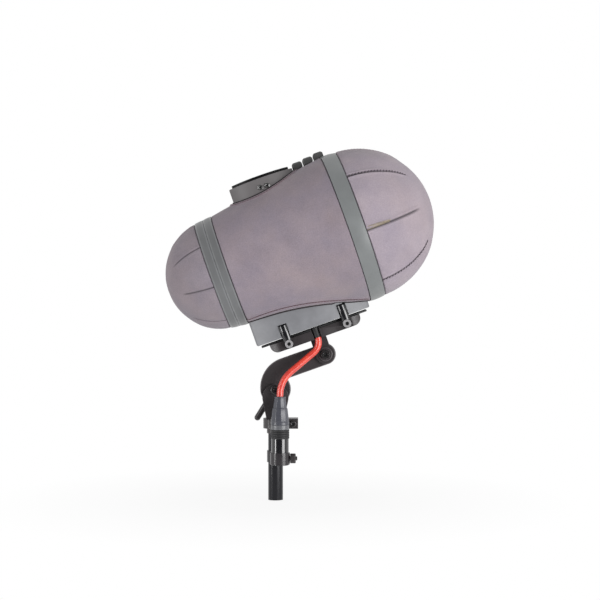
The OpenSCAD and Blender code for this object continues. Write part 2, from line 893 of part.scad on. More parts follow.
// Bar outline in the basket's XZ plane, with round lower corners
module bar_outline() {
    intersection() {
        translate([lower_u - bar_len / 2, bar_bottom]) square([bar_len, bar_h]);
        union() {
            translate([lower_u - bar_len / 2, bar_bottom + bar_round]) square([bar_len, bar_h]);
            translate([lower_u - bar_len / 2 + bar_round, bar_bottom])
                square([bar_len - 2 * bar_round, bar_h]);
            for (side = [-1, 1])
                translate([lower_u + side * (bar_len / 2 - bar_round), bar_bottom + bar_round])
                    circle(bar_round);
        }
    }
}

// Upright slot for the cable, open towards the near side
module cable_notch() {
    translate([cable_u, -cable_y, -long / 2]) {
        cylinder(h = long, r = notch_r);
        translate([-notch_r, -long, 0]) cube([2 * notch_r, long, long]);
    }
}

module mount_bar() {
    color("#3a3639")
        place_basket()
            difference() {
                plate_y(-bar_half, bar_half) bar_outline();
                cable_notch();
                for (u = post_us)
                    along_y(u, -long, long, eye_w, screw_shank_r + fit);
                fork_screw_places() {
                    translate([0, 0, bar_top - fork_head_h - fit])
                        cylinder(h = fork_head_h + 1, r = fork_head_r + fit);
                    translate([0, 0, bar_bottom - 1]) cylinder(h = bar_h, r = screw_shank_r + fit);
                }
            }
}

module isolation_pad() {
    color("#161618")
        place_basket()
            difference() {
                boat_column(lower_u, lower_len - 2 * pad_margin, bar_half - pad_inset, pad_end,
                    bar_top, pad_top);
                cable_notch();
            }
}

// Post 1 and 2 stand on the near side, 3 and 4 on the far side
module isolator_post(i) {
    u = post_us[i % 2];
    color("#121214")
        place_basket()
            mirror([0, i < 2 ? 0 : 1, 0])
                difference() {
                    union() {
                        translate([u, -post_y, eye_w])
                            cylinder(h = post_rise - lower_depth - eye_w, r = post_r);
                        along_y(u, -bar_half - eye_t, -bar_half, eye_w, eye_r);
                    }
                    along_y(u, -bar_half - 3 * eye_t, -bar_half + 1, eye_w, screw_shank_r + fit);
                    along_y(u, -bar_half - 3 * eye_t, -bar_half - eye_t, eye_w, post_screw_r + fit);
                }
}

module post_screws() {
    color("silver")
        place_basket()
            for (u = post_us, side = [-1, 1])
                side_screw(u, eye_w, bar_half + eye_t, side,
                    post_screw_r, post_screw_h, screw_shank_r, post_screw_len, post_screw_r / 2);
}

module cable_grommet() {
    color("#0e0e10")
        place_basket()
            translate([cable_u, -cable_y, bar_bottom + grommet_inset])
                difference() {
                    cylinder(h = bar_h + pad_t - grommet_inset, r = notch_r - fit);
                    translate([0, 0, -1]) cylinder(h = bar_h + pad_t + 2, r = cable_d / 2 + fit);
                }
}

module post_sockets(r, w0, w1) {
    for (u = post_us, side = [-1, 1])
        translate([u, side * post_y, w0]) cylinder(h = w1 - w0, r = r);
}

module lower_saddle() {
    color("#8f9299")
        place_basket()
            difference() {
                lower_column(-lower_depth, 0);
                difference() {
                    lower_column(floor_w, 0, -saddle_wall);
                    post_sockets(socket_r + socket_wall, -lower_depth, socket_top + socket_wall);
                }
                body_cone(-knit_t);
                post_sockets(socket_r, -lower_depth - 1, socket_top);
                translate([cable_u, -cable_y, -lower_depth - 1])
                    cylinder(h = saddle_wall + 2, r = cable_d / 2 + cable_room);
            }
}

module isolator_bushes() {
    color("#33312f")
        place_basket()
            for (u = post_us, side = [-1, 1])
                translate([u, side * post_y, -lower_depth + post_rise - bush_len])
                    difference() {
                        cylinder(h = bush_len, r = bush_r);
                        translate([0, 0, -1]) cylinder(h = bush_len + 2, r = post_r + run);
                    }
}

// Block inside the upper saddle that the saddle screws pull on, grown by a margin
module bracket_solid(margin) {
    bottom = saddle_screw_w - bracket_below;
    roof = upper_top - saddle_wall;
    intersection() {
        upper_column(bottom - margin, roof, margin - saddle_wall - fit);
        translate([saddle_screw_u - bracket_len / 2 - margin, -long / 2, 0])
            cube([bracket_len + 2 * margin, long, long]);
    }
}

module saddle_screw_holes(r, y0, y1) {
    for (k = [-1, 1])
        along_y(saddle_screw_u + k * saddle_screw_half, y0, y1, saddle_screw_w, r);
}

module upper_saddle() {
    color("#85898c")
        place_basket()
            difference() {
                upper_column(0, upper_top);
                bracket_solid(fit);
                body_cone(-knit_t);
                saddle_screw_holes(saddle_shank_r + fit, -long, long);
                saddle_screw_holes(saddle_screw_r + fit, -long, -saddle_screw_seat);
                saddle_screw_holes(saddle_screw_r + fit, saddle_screw_seat, long);
            }
}

module upper_bracket() {
    color("dimgray")
        place_basket()
            difference() {
                bracket_solid(0);
                saddle_screw_holes(saddle_shank_r + fit, -long, long);
            }
}

module cover_plate() {
    color("#17171a")
        place_basket()
            upper_column(upper_top, upper_top + plate_t, -plate_margin);
}

module saddle_screws() {
    color("silver")
        place_basket()
            for (k = [-1, 1], side = [-1, 1])
                side_screw(saddle_screw_u + k * saddle_screw_half, saddle_screw_w, saddle_screw_seat, side,
                    saddle_screw_r, saddle_screw_h, saddle_shank_r, saddle_screw_len, saddle_screw_r / 2);
}

// Front ring with its inner flange
module ring_solid(margin) {
    along_u(body_len, front_band, front_r + band_proud + margin, front_edge_r + band_proud + margin);
}

module grip_lug(i) {
    u = lug_u(i);
    top = body_r(lug_u(0)) + lug_h + i * lug_pitch * lug_slope;
    color("#6f7a78")
        place_basket()
            difference() {
                plate_y(-lug_w / 2, lug_w / 2)
                    translate([u - lug_len / 2, 0]) {
                        square([lug_len, top - lug_round]);
                        translate([lug_round, 0]) square([lug_len - 2 * lug_round, top]);
                        for (x = [lug_round, lug_len - lug_round])
                            translate([x, top - lug_round]) circle(lug_round);
                    }
                body_cone(fit);
                ring_solid(fit);
            }
}

module body_cover() {
    u0 = rear_band + fit;
    u1 = body_len - fit;
    color("#97909b")
        place_basket()
            difference() {
                along_u(u0, u1 - u0, body_r(u0), body_r(u1));
                body_cone(-knit_t);
                lower_column(-long, 0, fit);
                upper_column(0, long, fit);
            }
}

// Hoop under the body cover from u0 to u1
module body_hoop(u0, u1) {
    top = -knit_t - gap;
    intersection() {
        difference() {
            body_cone(top);
            body_cone(top - rib_h);
        }
        translate([u0, -long / 2, -long / 2]) cube([u1 - u0, long, long]);
    }
}

module body_frame() {
    color("#5b5b60")
        place_basket() {
            for (u = [rear_band, rear_band + hoop_inset, body_len - hoop_w - hoop_inset, body_len - hoop_w])
                body_hoop(u, u + hoop_w);
            intersection() {
                body_hoop(rear_band, body_len);
                turned(rib_count, rib_turn)
                    translate([0, -rib_t / 2, 0]) cube([long, rib_t, long]);
            }
        }
}

module body_rear_band() {
    u0 = gap / 2;
    color("#7b7e80")
        place_basket()
            difference() {
                along_u(u0, rear_band - u0, rear_mid_r + band_proud, rear_r + band_proud);
                along_u(-1, rear_band + 2, rear_bore_r);
                magnet_ring(u0, rear_magnet_ring, fit);
            }
}

module front_ring() {
    color("#868889")
        place_basket()
            difference() {
                ring_solid(0);
                along_u(body_len - 1, front_band + 2, flange_r);
                along_u(flange_face, front_band, ring_bore_r);
                magnet_ring(flange_face - magnet_t, front_magnet_ring, fit);
            }
}

module body_magnets() {
    color("silver")
        place_basket() {
            magnet_ring(gap / 2, rear_magnet_ring);
            magnet_ring(flange_face - magnet_t, front_magnet_ring);
        }
}

module mic_rail() {
    color("#3d3d42")
        place_basket() {
            translate([rail_u - rail_len / 2, -rail_half, -rail_drop - rail_t])
                cube([rail_len, 2 * rail_half, rail_t]);
            for (side = [-1, 1])
                translate([rail_u + side * pillar_pitch / 2, 0, floor_w])
                    cylinder(h = -rail_drop - rail_t / 2 - floor_w, r = pillar_r);
        }
}

// Clip in the basket's YZ plane: open ring for the microphone on a springy loop
module lyre_outline() {
    loop_w = loop_r - rail_drop;
    difference() {
        union() {
            circle(mic_r + lyre_wall);
            difference() {
                translate([0, loop_w]) circle(loop_r);
                translate([0, loop_w]) circle(loop_r - lyre_wall);
            }
            translate([-rail_half, -rail_drop]) square([2 * rail_half, lyre_foot]);
        }
        circle(mic_r);
        translate([-mic_r / 2, 0]) square([mic_r, long]);
    }
}

module lyre(u) {
    color("#24242a")
        place_basket()
            translate([u - lyre_w / 2, 0, 0])
                rotate([90, 0, 90]) linear_extrude(height = lyre_w) lyre_outline();
}

module front_lyre() {
    lyre(rail_u + clip_pitch / 2);
}

module rear_lyre() {
    lyre(rail_u - clip_pitch / 2);
}

module front_cover() {
    color("#9b949d")
        place_basket()
            spun() dome_profile(front_dome_u, front_dome_r, knit_t, front_edge + gap, 1);
}

module front_frame() {
    color("#5b5b60")
        place_basket()
            dome_frame(front_dome_u, front_dome_r - knit_t - fit, front_edge, 1);
}

module front_spigot() {
    u0 = flange_face + gap;
    color("#4a4b4f")
        place_basket()
            difference() {
                along_u(u0, front_edge - u0, spigot_r);
                along_u(u0 - 1, front_band + 2, flange_r);
                magnet_ring(u0, front_magnet_ring, fit);
            }
}

module front_magnets() {
    color("silver")
        place_basket()
            magnet_ring(flange_face + gap, front_magnet_ring);
}

module rear_cover() {
    color("#8c8a94")
        place_basket()
            spun() dome_profile(rear_dome_u, rear_dome_r, knit_t, -rear_band - fit, -1);
}

module rear_frame() {
    color("#5b5b60")
        place_basket()
            dome_frame(rear_dome_u, rear_dome_r - knit_t - fit, -rear_band, -1);
}

module rear_pod_band() {
    lip_r = rear_bore_r - gap;
    color("#74777a")
        place_basket()
            difference() {
                union() {
                    along_u(-rear_band, rear_band - gap / 2,
                        rear_edge_r + band_proud, rear_mid_r + band_proud);
                    along_u(-rear_band, rear_band + lip_reach, lip_r);
                }
                along_u(-rear_band - 1, long, lip_r - lip_wall);
                magnet_ring(-gap / 2 - magnet_t, rear_magnet_ring, fit);
            }
}

module rear_magnets() {
    color("silver")
        place_basket()
            magnet_ring(-gap / 2 - magnet_t, rear_magnet_ring);
}

pole_tube();
pole_plug();
pole_ferrule();
swivel_base();
collar_screw();
base_bolt();
lock_lever();
clip_body();
clip_thumbscrew();
xlr_shell();
xlr_sleeve();
xlr_insert();
xlr_pins();
xlr_ring();
xlr_boot();
cable_chuck();
cable_tail();
swivel_arm();
arm_bush_lower();
arm_bush_upper();
tilt_fork();
fork_screws();
tilt_bolt();
tilt_cap();
tilt_nut();
mount_bar();
isolation_pad();
post_screws();
cable_grommet();
lower_saddle();
isolator_bushes();
upper_saddle();
upper_bracket();
cover_plate();
saddle_screws();
body_cover();
body_frame();
body_rear_band();
front_ring();
mic_rail();
front_lyre();
rear_lyre();
body_magnets();
front_cover();
front_frame();
front_spigot();
front_magnets();
rear_cover();
rear_frame();
rear_pod_band();
rear_magnets();
for (i = [0:3])
    isolator_post(i);
for (i = [0:lug_count - 1])
    grip_lug(i);
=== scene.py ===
import json
import math

import bmesh
import bpy
from mathutils import Matrix, Vector, noise


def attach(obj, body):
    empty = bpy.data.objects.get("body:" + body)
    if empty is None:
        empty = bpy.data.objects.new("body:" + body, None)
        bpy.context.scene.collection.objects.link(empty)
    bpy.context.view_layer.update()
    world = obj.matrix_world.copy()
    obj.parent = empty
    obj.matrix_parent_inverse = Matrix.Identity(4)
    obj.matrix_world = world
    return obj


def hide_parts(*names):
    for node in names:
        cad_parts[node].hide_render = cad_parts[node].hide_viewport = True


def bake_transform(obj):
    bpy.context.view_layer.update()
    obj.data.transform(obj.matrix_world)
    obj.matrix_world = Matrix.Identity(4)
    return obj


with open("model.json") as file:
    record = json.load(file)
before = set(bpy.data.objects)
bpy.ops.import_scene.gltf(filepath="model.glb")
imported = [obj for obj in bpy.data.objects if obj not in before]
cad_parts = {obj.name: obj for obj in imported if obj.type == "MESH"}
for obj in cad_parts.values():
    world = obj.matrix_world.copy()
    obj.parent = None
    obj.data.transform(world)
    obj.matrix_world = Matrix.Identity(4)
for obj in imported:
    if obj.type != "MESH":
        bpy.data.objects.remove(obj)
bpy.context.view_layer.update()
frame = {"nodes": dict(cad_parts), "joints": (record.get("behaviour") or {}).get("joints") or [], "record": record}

scene = bpy.context.scene
scene.view_settings.view_transform = "Standard"
joints = {j["name"]: j for j in frame["joints"]}
bodyOf = {n: b for b, nodes in frame["record"]["behaviour"]["bodies"].items() for n in nodes}
slotOf = {s["node"]: s["material_slot"] for s in frame["record"]["subparts"]}

# Pieces are drawn in millimetres, on the basket's own axes (u along it, y across, w up) or on the world's
mm = 0.001  # in metres
basket = {
    "pivotU": 70.9, "pivotDrop": 110.734, "rearBand": 8.7, "bodyLen": 131.5, "rearR": 56.3, "frontR": 75.6,
    "knit": 3.0, "barrel": 1.0,
}
uAxis = Vector(joints["front_pod_pull"]["axis"])
wAxis = Vector(joints["isolator_float"]["axis"])
worldPlace = Matrix.Scale(mm, 4)
basketTurn = Matrix((uAxis, wAxis.cross(uAxis), wAxis)).transposed().to_4x4()
basketCorner = Vector(joints["head_tilt"]["pos_m"])
basketCorner += (wAxis * basket["pivotDrop"] - uAxis * basket["pivotU"]) * mm
basketPlace = Matrix.Translation(basketCorner) @ basketTurn @ worldPlace
offBasket = basketPlace.inverted()
weld = {"drawn": 0.002, "turned": 0.0005, "copied": 2e-6, "cut": 3e-6, "sliver": 4e-6}  # two in mm, the rest in m


def bodyRadius(u):
    share = (u - basket["rearBand"]) / (basket["bodyLen"] - basket["rearBand"])
    cone = basket["rearR"] + (basket["frontR"] - basket["rearR"]) * share
    return cone + basket["barrel"] * math.sin(math.pi * min(max(share, 0), 1))


def onBody(u, y, height, side):  # a point over the knit, side 1 on top and -1 underneath
    r = bodyRadius(u) + height
    return Vector((u, y, side * math.sqrt(max(r * r - y * y, 0))))


def ease(x):
    x = min(max(x, 0), 1)
    return x * x * (3 - 2 * x)


waves = {"broad": 0.32, "broadLength": 24.0, "fine": 0.12, "fineLength": 9.0}


def ripples(spot):  # the slight unevenness of stretched cloth
    broad = waves["broad"] * noise.noise(spot / waves["broadLength"])
    return broad + waves["fine"] * noise.noise(spot / waves["fineLength"])


def smoothRoute(points, steps):  # a curve through all the points
    points = [Vector(p) for p in points]
    ends = [points[0] * 2 - points[1], *points, points[-1] * 2 - points[-2]]
    route = []
    for a, b, c, d in zip(ends, ends[1:], ends[2:], ends[3:]):
        for i in range(steps):
            t = i / steps
            route.append(0.5 * (2 * b + (c - a) * t + (2 * a - 5 * b + 4 * c - d) * t * t
                                + (3 * b - a - 3 * c + d) * t ** 3))
    return route + [points[-1]]


def only(made, kind):
    return [g for g in made if isinstance(g, kind)]


def drawOut(bm, row, edges):  # a row of points extruded: the new row, its edges and the faces between
    made = bmesh.ops.extrude_edge_only(bm, edges=edges)["geom"]
    fresh = set(only(made, bmesh.types.BMVert))
    nextRow = [next(e.other_vert(v) for e in v.link_edges if e.other_vert(v) in fresh) for v in row]
    nextEdges = [e for e in only(made, bmesh.types.BMEdge) if set(e.verts) <= fresh]
    return nextRow, nextEdges, only(made, bmesh.types.BMFace)


def sweepTube(bm, path, radius, sides, uv=None):
    points = [Vector(p) for p in path]
    last = len(points) - 1
    aim = (points[1] - points[0]).normalized()
    start = Matrix.Translation(points[0]) @ aim.to_track_quat("Z", "Y").to_matrix().to_4x4()
    ring = bmesh.ops.create_circle(bm, segments=sides, radius=radius, matrix=start)["verts"]
    edges = list(dict.fromkeys(e for v in ring for e in v.link_edges))
    firstEdges, spot, run, walls = edges, {v: (0.0, k) for k, v in enumerate(ring)}, 0.0, []
    for i in range(1, last + 1):
        nextAim = (points[min(i + 1, last)] - points[i - 1]).normalized()
        swing = aim.rotation_difference(nextAim)
        run += (points[i] - points[i - 1]).length
        nextRing, edges, faces = drawOut(bm, ring, edges)
        walls += faces
        for k, (old, new) in enumerate(zip(ring, nextRing)):
            new.co = points[i] + swing @ (old.co - points[i - 1])
            spot[new] = (run, k)
        ring, aim = nextRing, nextAim
    bmesh.ops.edgeloop_fill(bm, edges=firstEdges)
    bmesh.ops.edgeloop_fill(bm, edges=edges)
    if uv:
        for face in walls:
            turns = [spot[loop.vert][1] for loop in face.loops]
            wraps = max(turns) - min(turns) > sides / 2
            for loop, k in zip(face.loops, turns):
                around = (sides if wraps and k == 0 else k) / sides
                loop[uv].uv = (around * 2 * math.pi * radius, spot[loop.vert][0])


def loftRows(bm, rows, closed=False):  # the first row of points, drawn out through the others
    verts = [bm.verts.new(p) for p in rows[0]]
    pairs = list(zip(verts, verts[1:])) + ([(verts[-1], verts[0])] if closed else [])
    edges = first = [bm.edges.new(pair) for pair in pairs]
    for row in rows[1:]:
        verts, edges, _ = drawOut(bm, verts, edges)
        for vert, point in zip(verts, row):
            vert.co = point
    return first + edges


def spinLine(bm, spots, axis, turns, closed=True, gap=weld["drawn"]):  # a line of points, turned once round the axis
    line = [bm.verts.new(p) for p in spots]
    edges = [bm.edges.new(pair) for pair in zip(line, line[1:] + (line[:1] if closed else []))]
    bmesh.ops.spin(bm, geom=edges, axis=axis, angle=2 * math.pi, steps=turns, use_merge=True)
    bmesh.ops.remove_doubles(bm, verts=bm.verts, dist=gap)


threadShape = {"dive": 2.0, "shoulder": 0.6, "sides": 5}  # in radii of the thread


def threadLoop(length, thread):  # one stitch along x, its ends diving into the cloth
    bm = bmesh.new()
    low, high = -threadShape["dive"] * thread, threadShape["shoulder"] * thread
    path = [(0, 0, low), (0, 0, high), (length / 2, 0, thread), (length, 0, high), (length, 0, low)]
    sweepTube(bm, path, thread, threadShape["sides"])
    bmesh.ops.recalc_face_normals(bm, faces=bm.faces)
    mesh = bpy.data.meshes.new("threadLoop")
    bm.to_mesh(mesh)
    bm.free()
    return mesh


def layStitch(bm, loop, length, a, b, up):
    count = len(bm.verts)
    bm.from_mesh(loop)
    bm.verts.ensure_lookup_table()
    along = b - a
    across = up.cross(along).normalized()
    place = Matrix((along / length, across, along.cross(across).normalized())).transposed().to_4x4()
    bmesh.ops.transform(bm, matrix=Matrix.Translation(a) @ place, verts=bm.verts[count:])


def newObject(name, bm):
    mesh = bpy.data.meshes.new(name)
    bm.to_mesh(mesh)
    bm.free()
    thing = bpy.data.objects.new(name, mesh)
    scene.collection.objects.link(thing)
    return thing


def pieceName(node):
    return "".join(w.capitalize() if k else w for k, w in enumerate(node.split("_")))


def addPiece(name, bm, place, body, finish, nodes=(), sharp=40.0, flip=True):
    if flip:
        bmesh.ops.recalc_face_normals(bm, faces=bm.faces)
    bm.transform(place)
    piece = newObject(name, bm)
    for f in finish if isinstance(finish, list) else [finish]:
        piece.data.materials.append(f)
    piece.data.shade_smooth()
    piece.data.set_sharp_from_angle(angle=math.radians(sharp))
    if body:
        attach(piece, body)
    if nodes:
        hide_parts(*nodes)
    return piece


# Finishes
def addNode(tree, kind, sockets=None, **settings):
    node = tree.nodes.new("ShaderNode" + kind)
    for key, value in settings.items():
        setattr(node, key, value)
    for key, value in (sockets or {}).items():
        if isinstance(value, bpy.types.NodeSocket):
            tree.links.new(value, node.inputs[key])
        else:
            node.inputs[key].default_value = value
    return node


def newFinish(name, rough, sockets=None):
    finish = bpy.data.materials.new(name)
    finish.use_nodes = True
    shader = finish.node_tree.nodes["Principled BSDF"]
    shader.inputs["Roughness"].default_value = rough
    for key, value in (sockets or {}).items():
        shader.inputs[key].default_value = value
    return finish, finish.node_tree, shader


def objectSpots(tree):
    return addNode(tree, "TexCoord").outputs["Object"]


def noiseOn(tree, place, scale, detail=3.0, rough=0.55):
    node = addNode(tree, "TexNoise", {"Vector": place, "Scale": scale, "Detail": detail, "Roughness": rough})
    return node.outputs["Fac"]


def rampOn(tree, source, stops):
    node = addNode(tree, "ValToRGB", {"Fac": source})
    band = node.color_ramp.elements
    while len(band) < len(stops):
        band.new(0.5)
    for element, (at, color) in zip(band, stops):
        element.position = at
        element.color = (*color, 1.0)
    return node.outputs["Color"]


def mixOn(tree, share, a, b, blend="MIX"):
    node = addNode(tree, "Mix", {0: share, 6: a, 7: b}, data_type="RGBA", blend_type=blend)
    return node.outputs[2]


def mathOn(tree, operation, a, b=0.0):
    return addNode(tree, "Math", {0: a, 1: b}, operation=operation).outputs[0]


def bumpOn(tree, shader, height, strength, distance):
    node = addNode(tree, "Bump", {"Height": height, "Strength": strength, "Distance": distance})
    tree.links.new(node.outputs["Normal"], shader.inputs["Normal"])


def spreadOn(tree, source, low, high, start=0.0, end=1.0):
    node = addNode(tree, "MapRange", {"Value": source, "From Min": start, "From Max": end, "To Min": low,
                                                "To Max": high})
    return node.outputs["Result"]


def spreadRough(tree, shader, source, low, high):
    tree.links.new(spreadOn(tree, source, low, high), shader.inputs["Roughness"])


def markOn(tree, shader, marks, stops, strength, distance):  # colour and bump from one pattern
    tree.links.new(rampOn(tree, marks, stops), shader.inputs["Base Color"])
    bumpOn(tree, shader, marks, strength, distance)


def shade(color, k):
    return tuple(min(c * k, 1.0) for c in color)


moulded = {"patch": 45.0, "wear": 260.0, "polish": -0.12, "smoother": 0.05, "rougher": 0.07, "bump": 0.0003}


# edge paints the eased edges lighter by that factor: part wear, part painted highlight
def mouldedFinish(name, color, rough, grain=1500.0, depth=0.12, spread=0.08, edge=1.5, sockets=None):
    finish, tree, shader = newFinish(name, rough, sockets)
    place = objectSpots(tree)
    patches = noiseOn(tree, place, moulded["patch"], 4.0)
    tone = rampOn(tree, patches, [(0.3, shade(color, 1 - spread)), (0.7, shade(color, 1 + spread))])
    wearAndHighlight = addNode(tree, "Attribute", attribute_name="edge").outputs["Fac"]  # 1 on the eased edges, which are painted lighter: part wear, part painted highlight
    wearAndHighlight = mathOn(tree, "MULTIPLY", wearAndHighlight, noiseOn(tree, place, moulded["wear"], 4.0))
    tone = mixOn(tree, wearAndHighlight, tone, (*shade(color, edge), 1.0))
    tree.links.new(tone, shader.inputs["Base Color"])
    wearAndHighlight = mathOn(tree, "MULTIPLY", wearAndHighlight, moulded["polish"])
    uneven = spreadOn(tree, patches, rough - moulded["smoother"], rough + moulded["rougher"])
    tree.links.new(mathOn(tree, "ADD", uneven, wearAndHighlight), shader.inputs["Roughness"])
    bumpOn(tree, shader, noiseOn(tree, place, grain, 2.0), depth, moulded["bump"])
    return finish


knit = {
    "wale": 1.5, "course": 1.15, "patch": 15.0, "cloud": 42.0, "fleck": 900.0, "sheen": 0.2, "rowRelief": 0.4,
    "fuzzRelief": 0.9, "threadAndShadeTone": 0.2,  # wale and course are the stitch in millimetres
}


def knitFinish(name, warm, cool):
    finish, tree, shader = newFinish(name, 0.92, {"Sheen Weight": knit["sheen"], "Sheen Roughness": 0.5,
                                                  "Specular IOR Level": 0.25})
    place = objectSpots(tree)
    weave = addNode(tree, "UVMap", uv_map="knit").outputs["UV"]
    axes = addNode(tree, "SeparateXYZ", {"Vector": weave})
    leg = mathOn(tree, "PINGPONG", axes.outputs["X"], knit["wale"] / 2)  # one V of the stitch
    climb = mathOn(tree, "ADD", axes.outputs["Y"], leg)
    rows = mathOn(tree, "SINE", mathOn(tree, "MULTIPLY", climb, 2 * math.pi / knit["course"]))
    ribs = mathOn(tree, "SINE", mathOn(tree, "MULTIPLY", leg, 2 * math.pi / knit["wale"]))
    relief = mathOn(tree, "ADD", mathOn(tree, "MULTIPLY", rows, knit["rowRelief"]), ribs)
    fuzz = noiseOn(tree, place, knit["fleck"], 3.0, 0.7)
    relief = mathOn(tree, "ADD", relief, mathOn(tree, "MULTIPLY", fuzz, knit["fuzzRelief"]))
    tone = rampOn(tree, noiseOn(tree, place, knit["patch"], 5.0, 0.6), [(0.34, cool), (0.66, warm)])
    clouds = noiseOn(tree, place, knit["cloud"], 4.0, 0.6)
    clouds = rampOn(tree, clouds, [(0.3, (0.91, 0.91, 0.92)), (0.7, (1.07, 1.07, 1.06))])
    flecks = rampOn(tree, fuzz, [(0.3, (0.85, 0.85, 0.86)), (0.7, (1.08, 1.08, 1.08))])
    tone = mixOn(tree, 1.0, mixOn(tree, 1.0, tone, clouds, "MULTIPLY"), flecks, "MULTIPLY")
    # the dart lines are painted darker: part dark thread, part painted shade in the crease
    seam = addNode(tree, "Attribute", attribute_name="seam").outputs["Fac"]
    dark = (*shade(cool, knit["threadAndShadeTone"]), 1.0)
    tree.links.new(mixOn(tree, seam, tone, dark), shader.inputs["Base Color"])
    bumpOn(tree, shader, relief, 0.3, 0.0003)
    return finish


def steelFinish(name, color, rough, metal=1.0):
    finish, tree, shader = newFinish(name, rough, {"Metallic": metal})
    marks = noiseOn(tree, objectSpots(tree), 900.0, 3.0)
    markOn(tree, shader, marks, [(0.3, shade(color, 0.82)), (0.7, color)], 0.06, 0.0001)
    spreadRough(tree, shader, marks, rough - 0.06, rough + 0.1)
    return finish


def poleFinish(name, color, rough):  # anodised tube with fine marks drawn along it
    finish, tree, shader = newFinish(name, rough, {"Metallic": 0.2, "Specular IOR Level": 0.35})
    drawn = addNode(tree, "Mapping", {"Vector": objectSpots(tree), "Scale": (700.0, 700.0, 14.0)})
    marks = noiseOn(tree, drawn.outputs["Vector"], 1.0, 3.0)
    markOn(tree, shader, marks, [(0.3, shade(color, 0.9)), (0.7, shade(color, 1.1))], 0.02, 0.0001)
    spreadRough(tree, shader, marks, rough - 0.03, rough + 0.04)
    return finish


jacket = {"lean": 0.31, "pitch": 1.1}  # lay of the cores, in millimetres


def jacketFinish(name, color, deep):  # soft cable jacket over twisted cores
    finish, tree, shader = newFinish(name, 0.3, {"Specular IOR Level": 0.9})
    lay = addNode(tree, "UVMap", uv_map="lay").outputs["UV"]
    axes = addNode(tree, "SeparateXYZ", {"Vector": lay})
    twist = mathOn(tree, "ADD", mathOn(tree, "MULTIPLY", axes.outputs["X"], jacket["lean"]), axes.outputs["Y"])
    ribs = mathOn(tree, "SINE", mathOn(tree, "MULTIPLY", twist, 2 * math.pi / jacket["pitch"]))
    scuffs = noiseOn(tree, objectSpots(tree), 160.0, 4.0)
    tree.links.new(rampOn(tree, scuffs, [(0.3, deep), (0.65, color)]), shader.inputs["Base Color"])
    spreadRough(tree, shader, scuffs, 0.24, 0.38)
    bumpOn(tree, shader, ribs, 0.12, 0.0003)
    return finish


def foamFinish(name, color):
    finish, tree, shader = newFinish(name, 0.95)
    cells = addNode(tree, "TexVoronoi", {"Vector": objectSpots(tree), "Scale": 650.0}).outputs["Distance"]
    markOn(tree, shader, cells, [(0.0, shade(color, 0.5)), (0.6, color)], 0.5, 0.0004)
    return finish


# Copies of one knit: the front dome's painted lighter as painted light, the rear dome's darker as painted shade, the
# hem's a little darker
bodyKnit = knitFinish("bodyKnit", (0.288, 0.236, 0.254), (0.240, 0.208, 0.252))
frontKnit = knitFinish("frontKnit", (0.388, 0.324, 0.352), (0.342, 0.296, 0.345))
rearKnit = knitFinish("rearKnit", (0.265, 0.224, 0.246), (0.224, 0.202, 0.242))
hemKnit = knitFinish("hemKnit", (0.270, 0.215, 0.235), (0.230, 0.195, 0.235))
foamBack = foamFinish("foamBack", (0.10, 0.10, 0.105))
darkThread = mouldedFinish("darkThread", (0.050, 0.040, 0.048), 0.8, 2600.0, 0.3)
# painted shade along the rolled edges of the hems
hemEdgeShade = mouldedFinish("hemEdgeShade", (0.022, 0.016, 0.019), 0.85, 2600.0, 0.4)
hemThread = mouldedFinish("hemThread", (0.095, 0.040, 0.050), 0.8, 2600.0, 0.3)
paleThread = mouldedFinish("paleThread", (0.42, 0.36, 0.25), 0.8, 2600.0, 0.3)
upperPlastic = mouldedFinish("upperPlastic", (0.138, 0.130, 0.132), 0.45, sockets={"Specular IOR Level": 0.25})
darkSteel = steelFinish("darkSteel", (0.150, 0.142, 0.145), 0.26)
clipPlastic = mouldedFinish("clipPlastic", (0.024, 0.021, 0.024), 0.22, 900.0, 0.1, edge=3.0)
capPlastic = mouldedFinish("capPlastic", (0.048, 0.042, 0.045), 0.24, edge=3.0)
platePlastic = mouldedFinish("platePlastic", (0.007, 0.007, 0.008), 0.46, 900.0, 0.1,
                             sockets={"Specular IOR Level": 0.12})
screwSteel = steelFinish("screwSteel", (0.42, 0.41, 0.42), 0.34, 0.4)
# the front ring: a lighter copy of the band plastic, painted light
ringPlastic = mouldedFinish("frontRingLitPlastic", (0.178, 0.187, 0.189), 0.38)
socketShade = mouldedFinish("socketShade", (0.008, 0.008, 0.009), 0.4)
finishes = {
    "knit": bodyKnit,
    "band": mouldedFinish("bandPlastic", (0.135, 0.138, 0.142), 0.38, edge=1.6),
    "saddle": mouldedFinish("saddlePlastic", (0.190, 0.193, 0.206), 0.40, spread=0.16),
    "grip_rubber": mouldedFinish("gripRubber", (0.074, 0.075, 0.074), 0.62, 700.0, 0.6, spread=0.2),
    "black_moulding": mouldedFinish("blackMoulding", (0.033, 0.028, 0.030), 0.36, 1300.0, 0.16, edge=4.0),
    "black_gloss": mouldedFinish("blackGloss", (0.007, 0.007, 0.009), 0.13, 500.0, 0.02, edge=2.0,
                                sockets={"Specular IOR Level": 0.8}),
    "black_rubber": mouldedFinish("blackRubber", (0.010, 0.010, 0.011), 0.58, 1100.0, 0.25),
    "pole_finish": poleFinish("poleFinish", (0.010, 0.010, 0.013), 0.24),
    "steel": steelFinish("plateSteel", (0.60, 0.60, 0.60), 0.22),
    "cable_jacket": jacketFinish("cableJacket", (0.74, 0.060, 0.030), (0.52, 0.022, 0.020)),
    "boot": mouldedFinish("bootPlastic", (0.064, 0.066, 0.081), 0.30, edge=1.8),
    "light_ring": mouldedFinish("ringPlastic", (0.115, 0.118, 0.128), 0.32),
    "inner_plastic": mouldedFinish("innerPlastic", (0.050, 0.050, 0.055), 0.50),
    "bronze": steelFinish("bushBronze", (0.50, 0.38, 0.18), 0.36),
}
